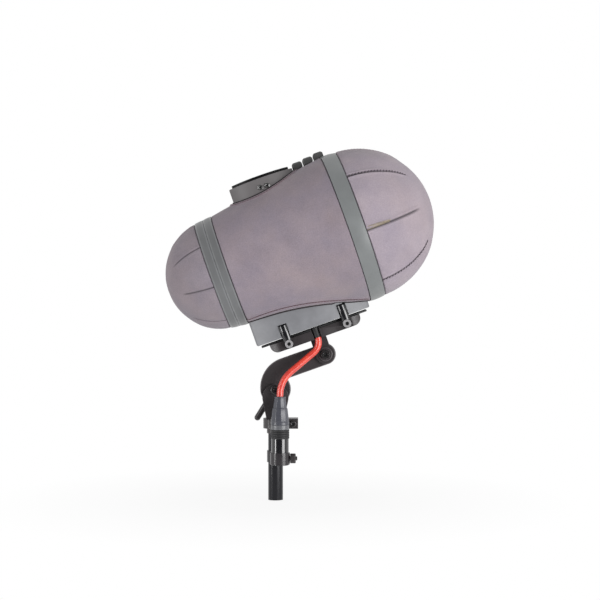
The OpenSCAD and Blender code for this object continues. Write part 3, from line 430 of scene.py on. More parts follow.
finishOf = {"upper_saddle": upperPlastic, "tilt_bolt": darkSteel, "base_bolt": darkSteel, "collar_screw": darkSteel,
            "tilt_cap": capPlastic, "cover_plate": platePlastic, "post_screws": screwSteel,
            "front_ring": ringPlastic, "clip_body": clipPlastic, "isolator_bushes": finishes["black_gloss"]}


def finishFor(node):
    return finishOf.get(node, finishes[slotOf[node]])


print("finishes", len(bpy.data.materials))

# Camera at the photograph's angle
shot = {"aimX": 0.0244, "aimZ": 0.1995, "distance": 1.5, "lens": 90.0}
camera = bpy.data.objects.new("camera", bpy.data.cameras.new("camera"))
camera.data.lens = shot["lens"]
camera.location = (shot["aimX"], -shot["distance"], shot["aimZ"])
camera.rotation_euler = (math.pi / 2, 0, 0)
scene.collection.objects.link(camera)
scene.camera = camera

# Cable, in two lengths that meet on the arm
cable = {
    "diameter": 6.5, "sides": 20, "meet": 8, "steps": 8, "hidden": 4,
    "route": [
        (37.33, -18, 175.53), (39.95, -18, 168.13), (41.96, -18, 162.47), (42.73, -18, 158.43), (42.26, -18.05, 154.35),
        (40.6, -18.2, 150.6), (37.88, -18.42, 147.51), (32.26, -18.99, 142.8), (26.65, -19.71, 138.09),
        (21.03, -20.49, 133.37), (15.41, -21.27, 128.66), (10.9, -21.91, 123.94), (7.51, -22.42, 118.36),
        (5.41, -22.77, 112.17), (4.7, -22.9, 105.68), (4.7, -22.9, 96), (4.7, -22.9, 85),
    ],
    "upperBlend": ((28, -19.6, 139), (42.6, -18, 159)), "lowerBlend": ((4.7, -22.9, 104), (25, -19.9, 136.7)),
}


def makeCable(name, first, lastPoint, bodyA, bodyB, start, end, exitAt):
    steps = cable["steps"]
    route = smoothRoute(cable["route"], steps)[max(first * steps, cable["hidden"]):lastPoint * steps + 1]
    bm = bmesh.new()
    sweepTube(bm, route, cable["diameter"] / 2, cable["sides"], bm.loops.layers.uv.new("lay"))
    piece = addPiece(name, bm, worldPlace, None, finishes["cable_jacket"], ["cable_tail"])
    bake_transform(piece)


makeCable("cableUpper", 0, cable["meet"], "arm", "head", *cable["upperBlend"], 0)
makeCable("cableLower", cable["meet"], len(cable["route"]) - 1, "pole", "arm", *cable["lowerBlend"], -1)

# Covers of the domes, each with eight sewn darts
frontDome = {
    "name": "frontDomeCover", "node": "front_cover", "body": "front_pod", "rests": "front_frame", "finish": frontKnit,
    "side": 1, "centre": 145.696, "radius": 74.704, "rim": 146.8, "dartTurn": -8.0, "dartEnd": 35.0,
    "flat": (0.235, 0.235), "area": 0.0340, "gather": 0.8, "paleDart": 0,  # only this dome's darts show their thread
}
rearDome = {
    "name": "rearDomeCover", "node": "rear_cover", "body": "rear_pod", "rests": "rear_frame", "finish": rearKnit,
    "side": -1, "centre": -0.835, "radius": 55.065, "rim": -8.8, "dartTurn": -13.0, "dartEnd": 41.5,
    "flat": (0.160, 0.160), "area": 0.0158, "gather": 0.4,
}
dart = {
    "count": 8, "depth": 1.9, "width": 1.0, "lip": 1.15, "lipAt": 2.3, "lipWidth": 1.25, "pucker": 0.25,
    "puckerPitch": 3.2, "puckerReach": 3.4, "puckerLag": 0.8, "fade": 0.25, "rise": 1.5, "riseFrom": 0.4,
    "bulge": 0.8, "bulgeFrom": 6.0, "bulgeTo": 1.55, "seam": 0.85, "threadAndShadeFade": 0.2, "calm": 5.0,
    "sewFrom": 1.2, "sewn": 0.88, "pitch": 3.2, "reach": 1.25, "narrow": 0.3, "lean": 0.55, "thread": 0.34,
    "stitch": 2.8,
}
domeMesh = {
    "columns": (22.5, 17.0, 12.0, 8.5, 6.0, 4.3, 3.1, 2.3, 1.7, 1.2, 0.8, 0.4), "rowStep": 1.0, "rowsFrom": 1.6,
    "rowsPast": 1.03, "roll": [(1.5, 0.0), (0.6, 0.4), (0.16, 0.9)], "liningRows": 16, "capRows": 12, "lined": 2.2,
}
paleRow = {"from": 1.4, "part": 0.35, "pitch": 1.1, "foot": 0.4, "lean": 0.9, "reach": 3.4, "narrow": 4.0}
dartLoop = threadLoop(dart["stitch"], dart["thread"])


def dartShift(d, arc, span, off, across):  # how far the cloth stands off the dome, near a dart and between two
    fade = ease((span - arc) / (dart["fade"] * span))
    gap = off / (dart["width"] * (0.4 + 0.6 * d["gather"]))
    shift = -dart["depth"] * math.exp(-gap * gap)
    shift += dart["lip"] * math.exp(-(((abs(off) - dart["lipAt"]) / dart["lipWidth"]) ** 2))
    ripple = math.sin(2 * math.pi * arc / dart["puckerPitch"] + (dart["puckerLag"] if off > 0 else 0))
    shift += dart["pucker"] * ripple * d["gather"] * math.exp(-((off / dart["puckerReach"]) ** 2))
    shift *= d["gather"]
    panel = dart["bulge"] * (0.5 - 0.5 * math.cos(2 * math.pi * across)) - 0.25 * dart["bulge"]
    reach = ease(arc / dart["bulgeFrom"]) * ease((dart["bulgeTo"] * span - arc) / span)
    return fade * shift * ease(arc / dart["rise"] + dart["riseFrom"]) + panel * reach


def makeDome(d):
    side, centre, radius = d["side"], d["centre"], d["radius"]
    rimTurn = math.acos((d["rim"] - centre) * side / radius)
    span = radius * (rimTurn - math.radians(d["dartEnd"]))
    inner, rowStep = radius - basket["knit"], domeMesh["rowStep"]
    innerTurn = math.acos((d["rim"] - centre) * side / inner)
    lining, cap = domeMesh["liningRows"], domeMesh["capRows"]
    profile = [(inner, innerTurn * i / lining) for i in range(lining + 1)]
    profile += [(radius - dip, rimTurn - along / radius) for dip, along in domeMesh["roll"]]
    rows = int(span * domeMesh["rowsPast"] / rowStep)
    profile += [(radius, rimTurn - (domeMesh["rowsFrom"] + i * rowStep) / radius) for i in range(rows)]
    capTurn = profile[-1][1]
    profile += [(radius, capTurn * (1 - i / cap)) for i in range(1, cap + 1)]
    bm = bmesh.new()
    seam = bm.verts.layers.float.new("seam")
    uv = bm.loops.layers.uv.new("knit")
    first = math.radians(d["dartTurn"] - domeMesh["columns"][0])
    line = []
    for r, turn in profile:
        ring = r * math.sin(turn)
        spot = (centre + side * r * math.cos(turn), -ring * math.cos(first), ring * math.sin(first))
        line.append(bm.verts.new(spot))
    edges = [bm.edges.new(pair) for pair in zip(line, line[1:])]
    half = [*domeMesh["columns"], 0.0]
    steps = [a - b for a, b in zip(half, half[1:])]
    for step in (steps + steps[::-1]) * dart["count"]:
        made = bmesh.ops.spin(bm, geom=edges, axis=(-1, 0, 0), angle=math.radians(step), steps=1)["geom_last"]
        edges = only(made, bmesh.types.BMEdge)
    bmesh.ops.remove_doubles(bm, verts=bm.verts, dist=weld["drawn"])
    bmesh.ops.recalc_face_normals(bm, faces=bm.faces)
    middle = Vector((centre, 0, 0))
    pitch = 360 / dart["count"]
    lined = set()
    for v in bm.verts:
        out = v.co - middle
        if out.length < radius - domeMesh["lined"]:
            lined.add(v)
            continue
        ring = math.hypot(v.co.y, v.co.z)
        turn = math.atan2(ring, (v.co.x - centre) * side)
        around = math.degrees(math.atan2(v.co.z, -v.co.y)) - d["dartTurn"]
        across = around / pitch
        off = ring * math.radians(pitch * (across - round(across)))
        arc = radius * (rimTurn - turn)
        # how dark the dart line is painted: part thread, part painted shade in the crease
        fade = ease((span - arc) / (dart["threadAndShadeFade"] * span))
        v[seam] = dart["seam"] * fade * math.exp(-((off / (0.3 + 0.75 * d["gather"])) ** 2))
        lift = dartShift(d, arc, span, off, across) + ease(arc / dart["calm"]) * ripples(v.co)
        v.co += out.normalized() * lift
    for face in bm.faces:
        face.material_index = 1 if all(v in lined for v in face.verts) else 0
        for loop in face.loops:
            spot = loop.vert.co
            turn = math.atan2(math.hypot(spot.y, spot.z), (spot.x - centre) * side)
            way = math.atan2(spot.z, -spot.y)
            loop[uv].uv = (radius * turn * math.cos(way), radius * turn * math.sin(way))
    piece = addPiece(d["name"], bm, basketPlace, d["body"], [d["finish"], foamBack], [d["node"]], 60.0, False)
    threads = sewDarts(d, rimTurn, span) if "paleDart" in d else []
    print(d["name"], len(piece.data.polygons), "faces")


def sewDarts(d, rimTurn, span):
    plain, pale = bmesh.new(), bmesh.new()

    def spotAt(k, arc, off):
        turn = rimTurn - arc / d["radius"]
        ring = d["radius"] * math.sin(turn)
        around = math.radians(d["dartTurn"] + k * 360 / dart["count"]) + off / ring
        up = Vector((d["side"] * math.cos(turn), -math.sin(turn) * math.cos(around), math.sin(turn) * math.sin(around)))
        sunk = dartShift(d, arc, span, off, off / ring / math.radians(360 / dart["count"]))
        return Vector((d["centre"], 0, 0)) + up * (d["radius"] + sunk), up

    for k in range(dart["count"]):
        if k == d["paleDart"]:
            continue
        arc = dart["sewFrom"]
        while arc < dart["sewn"] * span:
            reach = dart["reach"] * (0.5 + 0.5 * ease((span - arc) / (dart["narrow"] * span)))
            a = spotAt(k, arc, -reach)[0]
            b, up = spotAt(k, arc + dart["pitch"] * dart["lean"], reach)
            layStitch(plain, dartLoop, dart["stitch"], a, b, up)
            arc += dart["pitch"]
    arc = paleRow["from"]
    while arc < paleRow["part"] * span:  # pale thread whipped over the upper lip of one dart
        a = spotAt(d["paleDart"], arc, paleRow["foot"])[0]
        b, up = spotAt(d["paleDart"], arc + paleRow["lean"], paleRow["reach"] - paleRow["narrow"] * arc / span)
        layStitch(pale, dartLoop, dart["stitch"], a, b, up)
        arc += paleRow["pitch"]
    return [addPiece(d["name"] + "Threads", plain, basketPlace, d["body"], darkThread),
            addPiece(d["name"] + "PaleThreads", pale, basketPlace, d["body"], paleThread)]


makeDome(frontDome)
makeDome(rearDome)

# Cover of the body, open round both saddles
lowerSaddle = {"u": 68.7, "len": 118.4, "half": 30.0, "end": 14.0}
upperSaddle = {"u": 68.0, "len": 66.0, "half": 28.0, "end": 13.0}
cover = {
    "start": 8.8, "end": 131.4, "rows": 40, "turns": 180, "flat": (0.42, 0.125), "area": 0.0425, "girthR": 66.0,
    "roll": [(0.0, 1.5), (0.35, 0.6), (0.9, 0.15)], "rowsFrom": 1.6, "calm": 8.0, "liningRows": 12, "lined": 2.4,
    "liningBarrel": 0.7, "opening": 0.35, "cutFrom": 30.0, "cutDeep": 80.0, "outline": 60, "sharp": 50.0,
}
hem = {
    "section": [(0.2, -2.0), (0.22, 0.4), (0.4, 1.2), (0.75, 1.55), (1.1, 1.2), (1.3, 0.45), (1.6, 0.85), (2.4, 1.05),
                (3.3, 0.9), (3.7, 0.3), (4.1, 0.75), (4.6, 0.65), (5.0, 0.25), (5.2, -0.6)],
    "rolled": 5, "edge": 1.3, "widen": 1.1, "row": 3.7, "pitch": 3.0, "stitch": 2.1, "thread": 0.36,
    "steps": 90, "stitchLift": 0.5, "margin": 0.1, "dip": 1.5, "dipReach": 1.4, "shift": (0.4, 0.3), "soften": 4,
    "sewFrom": 0.6, "sewStop": 0.4,
    "tuck": 1.0, "tuckAt": 100.95, "tuckHalf": 3.4, "tuckFade": 4.0, "rim": 1.2,  # clear of the front posts
}
hemLoop = threadLoop(hem["stitch"], hem["thread"])


def boatHalf(s, x, grow=0.0):  # half width of a saddle's outline at x from its middle
    half, end, reach = s["half"] + grow, s["end"] + grow, s["len"] / 2 + grow
    sag = half - end
    arcR = (reach * reach + sag * sag) / (2 * sag)
    return math.sqrt(arcR * arcR - x * x) - (arcR - half)


def boatOutline(s, grow, steps):
    reach = s["len"] / 2 + grow
    xs = [-reach + 2 * reach * i / steps for i in range(steps + 1)]
    near = [(s["u"] + x, -boatHalf(s, x, grow)) for x in xs]
    far = [(u, -y) for u, y in reversed(near)]
    across = max(4, int(steps * s["end"] / s["len"]))
    y = s["end"] + grow
    frontEnd = [(s["u"] + reach, -y + 2 * y * i / across) for i in range(1, across)]
    rearEnd = [(s["u"] - reach, y - 2 * y * i / across) for i in range(1, across)]
    return near + frontEnd + far + rearEnd


def rounded(points, times):  # eases the corners of a closed outline
    for _ in range(times):
        points = [((a[0] + 2 * b[0] + c[0]) / 4, (a[1] + 2 * b[1] + c[1]) / 4)
                  for a, b, c in zip(points[-1:] + points[:-1], points, points[1:] + points[:1])]
    return points


def makeCutter(s, side):
    bm = bmesh.new()
    outline = boatOutline(s, cover["opening"], cover["outline"])
    face = bm.faces.new([bm.verts.new((u, y, side * cover["cutFrom"])) for u, y in outline])
    made = bmesh.ops.extrude_face_region(bm, geom=[face])["geom"]
    bmesh.ops.translate(bm, verts=only(made, bmesh.types.BMVert), vec=(0, 0, side * cover["cutDeep"]))
    bmesh.ops.recalc_face_normals(bm, faces=bm.faces)
    bm.transform(basketPlace)
    return newObject("cutter", bm)


def cutWith(piece, cutters, sharp):
    for cutter in cutters:
        cut = piece.modifiers.new("opening", "BOOLEAN")
        cut.operation, cut.solver, cut.object = "DIFFERENCE", "EXACT", cutter
    graph = bpy.context.evaluated_depsgraph_get()
    mesh = bpy.data.meshes.new_from_object(piece.evaluated_get(graph))
    piece.modifiers.clear()
    bm = bmesh.new()
    bm.from_mesh(mesh)
    bmesh.ops.remove_doubles(bm, verts=bm.verts, dist=weld["cut"])
    bmesh.ops.dissolve_degenerate(bm, dist=weld["cut"], edges=bm.edges)
    bm.to_mesh(mesh)
    bm.free()
    old, piece.data = piece.data, mesh
    bpy.data.meshes.remove(old)
    for cutter in cutters:
        bpy.data.meshes.remove(cutter.data)
    mesh.set_sharp_from_angle(angle=math.radians(sharp))


def makeBodyCover():
    bm = bmesh.new()
    uv = bm.loops.layers.uv.new("knit")
    u0, u1 = cover["start"], cover["end"]
    rows, margin, lining = cover["rows"], cover["rowsFrom"], cover["liningRows"]
    outer = [(u0 + a, -dip) for a, dip in cover["roll"]]
    outer += [(u0 + margin + (u1 - u0 - 2 * margin) * i / rows, 0.0) for i in range(rows + 1)]
    outer += [(u1 - a, -dip) for a, dip in reversed(cover["roll"])]
    flatter = basket["knit"] + basket["barrel"] * cover["liningBarrel"]
    inner = [(u1 + (u0 - u1) * i / lining, -flatter) for i in range(lining + 1)]
    spinLine(bm, [(u, 0, -bodyRadius(u) - lift) for u, lift in outer + inner], (1, 0, 0), cover["turns"])
    bmesh.ops.recalc_face_normals(bm, faces=bm.faces)
    for v in bm.verts:
        r = math.hypot(v.co.y, v.co.z)
        if r > bodyRadius(v.co.x) - 1:
            inset = ease((v.co.x - u0) / cover["calm"]) * ease((u1 - v.co.x) / cover["calm"])
            v.co += Vector((0, v.co.y, v.co.z)) / r * inset * ripples(v.co)
    for face in bm.faces:
        spots = [loop.vert.co for loop in face.loops]
        ways = [math.atan2(s.y, -s.z) for s in spots]  # parted along the underside
        if max(ways) - min(ways) > math.pi:
            ways = [w + 2 * math.pi if w < 0 else w for w in ways]
        lined = all(math.hypot(s.y, s.z) < bodyRadius(s.x) - cover["lined"] for s in spots)
        face.material_index = 1 if lined else 0
        for loop, s, way in zip(face.loops, spots, ways):
            loop[uv].uv = (way * cover["girthR"], s.x)
    piece = addPiece("bodyCover", bm, basketPlace, "basket", [bodyKnit, foamBack], ["body_cover"], flip=False)
    cutWith(piece, [makeCutter(lowerSaddle, -1), makeCutter(upperSaddle, 1)], cover["sharp"])
    makeLowerHems() + makeUpperHem()
    print("bodyCover", len(piece.data.polygons), "faces")


def hemDip(u):  # the hem tucks in at the bands with the rest of the cloth
    near = min(u - cover["start"], cover["end"] - u)
    return -hem["dip"] * (1 - ease(near / hem["dipReach"]))


def addHem(name, threadName, bm, thread, rims, around):
    uv = bm.loops.layers.uv.new("knit")
    du, dv = hem["shift"]
    for k, face in enumerate(bm.faces):  # the rolled edge by the saddle is painted dark as shade
        face.material_index = 1 if k % (around * (len(hem["section"]) - 1)) < around * hem["rolled"] else 0
        for loop in face.loops:  # the cloth's pattern follows the body
            spot = loop.vert.co
            loop[uv].uv = (math.atan2(spot.y, abs(spot.z)) * cover["girthR"] + du, spot.x + dv)
    for rim in rims:  # the section is shut on its hidden side, and at its ends
        bmesh.ops.bridge_loops(bm, edges=rim)
    bmesh.ops.holes_fill(bm, edges=[e for e in bm.edges if e.is_boundary], sides=0)
    return [addPiece(name, bm, basketPlace, "basket", [hemKnit, hemEdgeShade]),
            addPiece(threadName, thread, basketPlace, "basket", hemThread)]


def sewRow(bm, spots):  # stitches laid end to end along a line of points
    ups = [Vector((0, p.y, p.z)).normalized() for p in spots]
    along = [0.0]
    for a, b in zip(spots, spots[1:]):
        along.append(along[-1] + (b - a).length)

    def at(x):
        k = next((i for i, s in enumerate(along) if s >= x), len(along) - 1)
        k = max(k, 1)
        t = (x - along[k - 1]) / max(along[k] - along[k - 1], 1e-6)
        return spots[k - 1].lerp(spots[k], t), ups[k]

    x = hem["sewFrom"]
    while x + hem["stitch"] < along[-1] - hem["sewStop"]:
        (a, up), (b, _) = at(x), at(x + hem["stitch"])
        layStitch(bm, hemLoop, hem["stitch"], a, b, up)
        x += hem["pitch"]


def makeLowerHems():
    cloth, thread = bmesh.new(), bmesh.new()
    s, steps = lowerSaddle, hem["steps"]
    first, length = cover["start"] + hem["margin"], cover["end"] - cover["start"] - 2 * hem["margin"]
    us = [first + length * i / steps for i in range(steps + 1)]

    def rowAt(off, lift, hand):
        rim = 1 - ease((off - hem["rim"]) / hem["rim"])
        off += max(off - hem["edge"], 0) * hem["widen"]
        row = []
        for u in us:
            tuck = 1 - ease((abs(u - hem["tuckAt"]) - hem["tuckHalf"]) / hem["tuckFade"])
            x = u - s["u"]
            slope = (boatHalf(s, x + 0.1) - boatHalf(s, x - 0.1)) / 0.2
            lean = math.hypot(1, slope)
            y = boatHalf(s, x) + off * lean
            row.append(onBody(u, hand * y, lift + hemDip(u) - hem["tuck"] * tuck * rim, -1))
        return row

    rims = []
    for hand in (-1, 1):
        rims.append(loftRows(cloth, [rowAt(off, lift, hand) for off, lift in hem["section"]]))
        sewRow(thread, rowAt(hem["row"], hem["stitchLift"], hand))
    return addHem("lowerHems", "lowerHemThreads", cloth, thread, rims, steps)


def makeUpperHem():
    cloth, thread = bmesh.new(), bmesh.new()

    def rowAt(off, lift):
        outline = rounded(boatOutline(upperSaddle, off, cover["outline"]), 1 + int(off * hem["soften"]))
        return [onBody(u, y, lift, 1) for u, y in outline]

    rows = [rowAt(off, lift) for off, lift in hem["section"]]
    rims = [loftRows(cloth, rows, True)]
    sewRow(thread, rowAt(hem["row"], hem["stitchLift"]))
    return addHem("upperHem", "upperHemThreads", cloth, thread, rims, len(rows[0]))


makeBodyCover()

# Bands of the basket, slightly swelled between their rims, with recesses for the magnets
bands = {
    "front_ring": {"span": (131.5, 146.5), "radii": (76.0, 75.1), "crown": 0.6, "ease": 0.6,
                   "inside": [(146.5, 71.1), (137.3, 71.1), (137.3, 64.6), (131.5, 64.6)],
                   "magnets": (135.3, 137.4, 67.85)},
    "body_rear_band": {"span": (0.15, 8.7), "radii": (55.8, 56.7), "crown": 0.25, "ease": 0.8,
                       "inside": [(8.7, 47.5), (0.15, 47.5)], "magnets": (0.05, 2.15, 51.0)},
    "rear_pod_band": {"span": (-8.7, -0.15), "radii": (54.9, 55.8), "crown": 0.25, "ease": 0.8,
                      "inside": [(-0.15, 47.2), (4.7, 47.2), (5.0, 46.9), (5.0, 45.2), (-8.7, 45.2)],
                      "magnets": (-2.15, -0.05, 51.0)},
}
bandMesh = {"turns": 160, "rows": 10, "easeRows": 4, "sharp": 40.0}
magnet = {"recess": 2.5, "count": 4, "turn": 45.0, "sides": 32}


def makeRecesses(start, end, ring):
    bm = bmesh.new()
    for k in range(magnet["count"]):
        way = math.radians(magnet["turn"] + 360 * k / magnet["count"])
        place = Matrix.Translation(((start + end) / 2, ring * math.sin(way), ring * math.cos(way)))
        bmesh.ops.create_cone(bm, cap_ends=True, segments=magnet["sides"], radius1=magnet["recess"],
                              radius2=magnet["recess"], depth=end - start,
                              matrix=place @ Matrix.Rotation(math.pi / 2, 4, "Y"))
    bm.transform(basketPlace)
    return newObject("cutter", bm)


def makeBand(node, b):
    (u0, u1), (r0, r1), e = b["span"], b["radii"], b["ease"]

    def outerAt(u):
        share = (u - u0) / (u1 - u0)
        return r0 + (r1 - r0) * share + b["crown"] * (1 - (2 * share - 1) ** 2)

    rows, easeRows = bandMesh["rows"], bandMesh["easeRows"]
    bend = [math.pi / 2 * i / easeRows for i in range(easeRows + 1)]
    bend = [(e * (1 - math.sin(t)), e * (1 - math.cos(math.pi / 2 - t))) for t in bend]  # a quarter round at each rim
    inner = [u0 + e + (u1 - u0 - 2 * e) * i / rows for i in range(1, rows)]
    outline = [(u0 + a, outerAt(u0) - dip) for a, dip in bend] + [(u, outerAt(u)) for u in inner]
    outline += [(u1 - a, outerAt(u1) - dip) for a, dip in reversed(bend)] + b["inside"]
    bm = bmesh.new()
    edge = bm.faces.layers.float.new("edge")
    spinLine(bm, [(u, 0, r) for u, r in outline], (1, 0, 0), bandMesh["turns"])
    # the rims' faces take the lighter edge colour: part wear, part painted highlight
    for face in bm.faces:
        spot = face.calc_center_median()
        wornAndLit = min(spot.x - u0, u1 - spot.x) < e and math.hypot(spot.y, spot.z) > min(r0, r1) - e
        face[edge] = 1.0 if wornAndLit else 0.0
    piece = addPiece(pieceName(node), bm, basketPlace, bodyOf[node], finishFor(node), [node])
    cutWith(piece, [makeRecesses(*b["magnets"])], bandMesh["sharp"])


for node, band in bands.items():
    makeBand(node, band)
print("bands", len(bands))

# Moulded and turned pieces with their edges eased, in millimetres
easedEdges = {
    "lower_saddle": 1.6, "upper_saddle": 1.2, "cover_plate": 0.4, "mount_bar": 1.1, "tilt_fork": 1.0, "swivel_arm": 2.0,
    "swivel_base": 1.1, "clip_body": 0.4, "isolation_pad": 0.5, "isolator_bushes": 0.4, "tilt_cap": 0.6,
    "lock_lever": 0.5, "pole_tube": 0.2, "pole_ferrule": 0.3, "xlr_shell": 0.2, "xlr_ring": 0.5, "collar_screw": 0.35,
    "base_bolt": 0.5, "tilt_bolt": 0.5, "tilt_nut": 0.3, "post_screws": 0.45, "saddle_screws": 0.4,
    "front_spigot": 0.3, "mic_rail": 0.4, "front_lyre": 0.4, "rear_lyre": 0.4,
    **{f"isolator_post_{i}": 0.6 for i in range(1, 5)}, **{f"grip_lug_{i}": 2.6 for i in range(1, 4)},
}
easing = {"flat": 0.5, "keen": 28.0, "sharp": 50.0, "rows": 3, "endRows": 5, "endReach": 0.3}
easedEnds = {"lower_saddle": (lowerSaddle, 2.4), "upper_saddle": (upperSaddle, 2.0)}
posts = {"u": (40.45, 100.95), "y": 25.1, "radius": 3.1, "bore": 3.15, "bush": 4.55, "drawn": 4.1, "foot": -86.2}
postHoles = {"reach": 5.0, "roof": -67.4, "top": -66.0, "lower": 2.0}
bar = {"u": 68.7, "half": 47.0, "across": 22.0, "start": 37.0, "draw": 5.0, "bend": 1.5, "cuts": 6}
socketed = {"post_screws": 2.6, "saddle_screws": 1.6, "tilt_bolt": 3.0, "base_bolt": 3.0, "collar_screw": 1.7}  # radii
socket = {"head": 1.5, "skin": 0.1, "deep": 3.2}  # below the top of a screw's head


def fromPost(spot):  # how far a spot is from the nearest post, along the basket and in all
    along = min((spot.x - u for u in posts["u"]), key=abs)
    return along, math.hypot(along, abs(spot.y) - posts["y"])


def widenPosts(bm):  # the posts and the bores round them, broader along the basket than across it
    grow, bush = posts["drawn"] / posts["radius"] - 1, posts["bush"]
    for v in bm.verts:
        spot = offBasket @ v.co
        along, r = fromPost(spot)
        if r < bush and spot.z > posts["foot"]:
            share = min(1, (bush - r) / (bush - posts["bore"]))
            v.co = basketPlace @ (spot + Vector((along * grow * share, 0, 0)))


def lowerRoofs(bm):  # the roofs of the four post holes come down close over the posts
    drop = basketPlace.to_3x3() @ Vector((0, 0, -postHoles["lower"]))
    for v in bm.verts:
        spot = offBasket @ v.co
        if fromPost(spot)[1] < postHoles["reach"] and postHoles["roof"] < spot.z < postHoles["top"]:
            v.co += drop


def taperBar(bm):  # the ends of the bar draw in towards its tips
    bm.transform(offBasket)
    middle, start, length = bar["u"], bar["start"], bar["half"] - bar["start"]
    for k in range(bar["cuts"]):
        for side in (-1, 1):
            cut = (middle + side * (start + length * k / bar["cuts"]), 0, 0)
            bmesh.ops.bisect_plane(bm, geom=[*bm.verts, *bm.edges, *bm.faces], plane_co=cut, plane_no=(1, 0, 0),
                                   dist=1e-4)
    for v in bm.verts:
        share = max(0, (abs(v.co.x - middle) - start) / length)
        v.co.y *= 1 - bar["draw"] * share ** bar["bend"] / bar["across"]
    bm.transform(basketPlace)


def darkenPostHoles(bm):  # the walls round the bushes of the isolator posts, painted black as shade
    for face in bm.faces:
        spot = offBasket @ face.calc_center_median()
        if fromPost(spot)[1] < postHoles["reach"] and spot.z < postHoles["top"]:
            face.material_index = 1


def darkenSockets(bm, reach):  # the faces sunk in the middle of each screw head, painted black as shade
    left = set(bm.verts)
    while left:
        island, todo = set(), [left.pop()]
        while todo:
            v = todo.pop()
            island.add(v)
            for e in v.link_edges:
                other = e.other_vert(v)
                if other in left:
                    left.remove(other)
                    todo.append(other)
        ys = [v.co.y for v in island]
        hand = -1 if sum(ys) < 0 else 1
        top = max(y * hand for y in ys)
        head = [v.co for v in island if v.co.y * hand > top - socket["head"] * mm]
        x = (min(c.x for c in head) + max(c.x for c in head)) / 2
        z = (min(c.z for c in head) + max(c.z for c in head)) / 2
        for face in {f for v in island for f in v.link_faces}:
            spot = face.calc_center_median()
            sunk = socket["skin"] * mm < top - spot.y * hand < socket["deep"] * mm
            if sunk and math.hypot(spot.x - x, spot.z - z) < reach * mm:
                face.material_index = 1


def keenEdges(bm):
    return [e for e in bm.edges if e.is_manifold and e.calc_face_angle() > math.radians(easing["keen"])]


def bevelEdges(bm, edges, width, rows):
    return bmesh.ops.bevel(bm, geom=edges, offset=width * mm, offset_type="OFFSET", segments=rows, profile=0.5,
                           affect="EDGES", clamp_overlap=True, material=-1)["faces"]


def roundEnds(bm, s, width):  # the rims of a saddle's flat ends
    ends = {v for v in bm.verts if abs((offBasket @ v.co).x - s["u"]) > s["len"] / 2 - easing["endReach"]}
    bevelEdges(bm, [e for e in keenEdges(bm) if ends.issuperset(e.verts)], width, easing["endRows"])


def easeEdges(node, width):
    bm = bmesh.new()
    bm.from_mesh(frame["nodes"][node].data)
    edge = bm.faces.layers.float.new("edge")
    bmesh.ops.remove_doubles(bm, verts=bm.verts, dist=weld["copied"])
    bmesh.ops.dissolve_limit(bm, angle_limit=math.radians(easing["flat"]), verts=bm.verts, edges=bm.edges)
    if node in easedEnds:
        roundEnds(bm, *easedEnds[node])
    if node == "mount_bar":
        taperBar(bm)
    eased = bevelEdges(bm, keenEdges(bm), width, easing["rows"])
    for face in bm.faces:
        face.material_index = 0
    # bevelled faces take the lighter edge colour: part wear, part painted highlight
    for face in eased:
        face[edge] = 1.0
    bmesh.ops.dissolve_degenerate(bm, dist=weld["sliver"], edges=bm.edges)
    if node.startswith("isolator"):
        widenPosts(bm)
    finish = [finishFor(node)]
    if node == "lower_saddle":
        lowerRoofs(bm)
        darkenPostHoles(bm)
        # the post holes' walls take the black rubber finish as painted shade
        finish.append(finishes["black_rubber"])
    if node in socketed:
        # the screws' sockets painted black as shade
        darkenSockets(bm, socketed[node])
        finish.append(socketShade)
    piece = addPiece(pieceName(node), bm, Matrix.Identity(4), bodyOf[node], finish, [node],
                     easing["sharp"], False)
    even = piece.modifiers.new("evenNormals", "WEIGHTED_NORMAL")
    even.keep_sharp = True


for node, width in easedEdges.items():
    easeEdges(node, width)
print("eased", len(easedEdges), "pieces")

# Connector's boot, ribbed sleeve and the thumbscrew
plug = {"x": 4.7, "y": -22.923}
boot = {
    "profile": [(3.55, 76.8), (8.9, 76.7), (9.2, 77.0), (9.2, 79.3), (8.95, 79.6), (8.95, 80.0), (9.1, 80.3),
                (8.6, 84.0), (8.1, 88.5), (7.62, 92.6), (7.45, 93.0), (7.05, 93.15), (6.9, 93.6), (6.3, 97.5),
                (5.75, 101.2), (5.4, 103.9), (5.15, 104.4), (4.5, 104.5), (3.75, 104.4), (3.55, 104.0)],
    "turns": 120, "flats": 10, "twist": 0.6, "bore": 4.4, "flatsFrom": 80.6, "fadeIn": 1.5, "flatsTo": 103.2,
    "fadeOut": 1.0, "sharp": 30.0,
}
sleeve = {
    "bottom": 63.0, "top": 72.0, "bore": 8.72, "root": 8.8, "crest": 9.2, "ridges": 4, "turns": 72, "sharp": 35.0,
    "rise": [(-0.4, 0.25), (-0.1, 0.5), (0.0, 0.7)], "fall": [(0.0, 0.5), (-0.1, 0.3)],  # off the crest, along it
}
thumb = {
    "tip": 13.6, "start": 14.7, "len": 5.5, "radius": 4.8, "height": 43.55, "teeth": 22, "tooth": 0.45, "stem": 2.0,
    "backEdge": 0.5, "frontEdge": 0.6, "dish": 0.5, "dishWide": 0.9, "dishFloor": 0.7, "boss": 1.5, "bossEdge": 0.3,
    "skin": 0.2, "sharp": 35.0,
}


def addTurned(node, bm, place, sharp):
    bmesh.ops.translate(bm, verts=bm.verts, vec=place)
    addPiece(pieceName(node), bm, worldPlace, bodyOf[node], finishFor(node), [node], sharp)


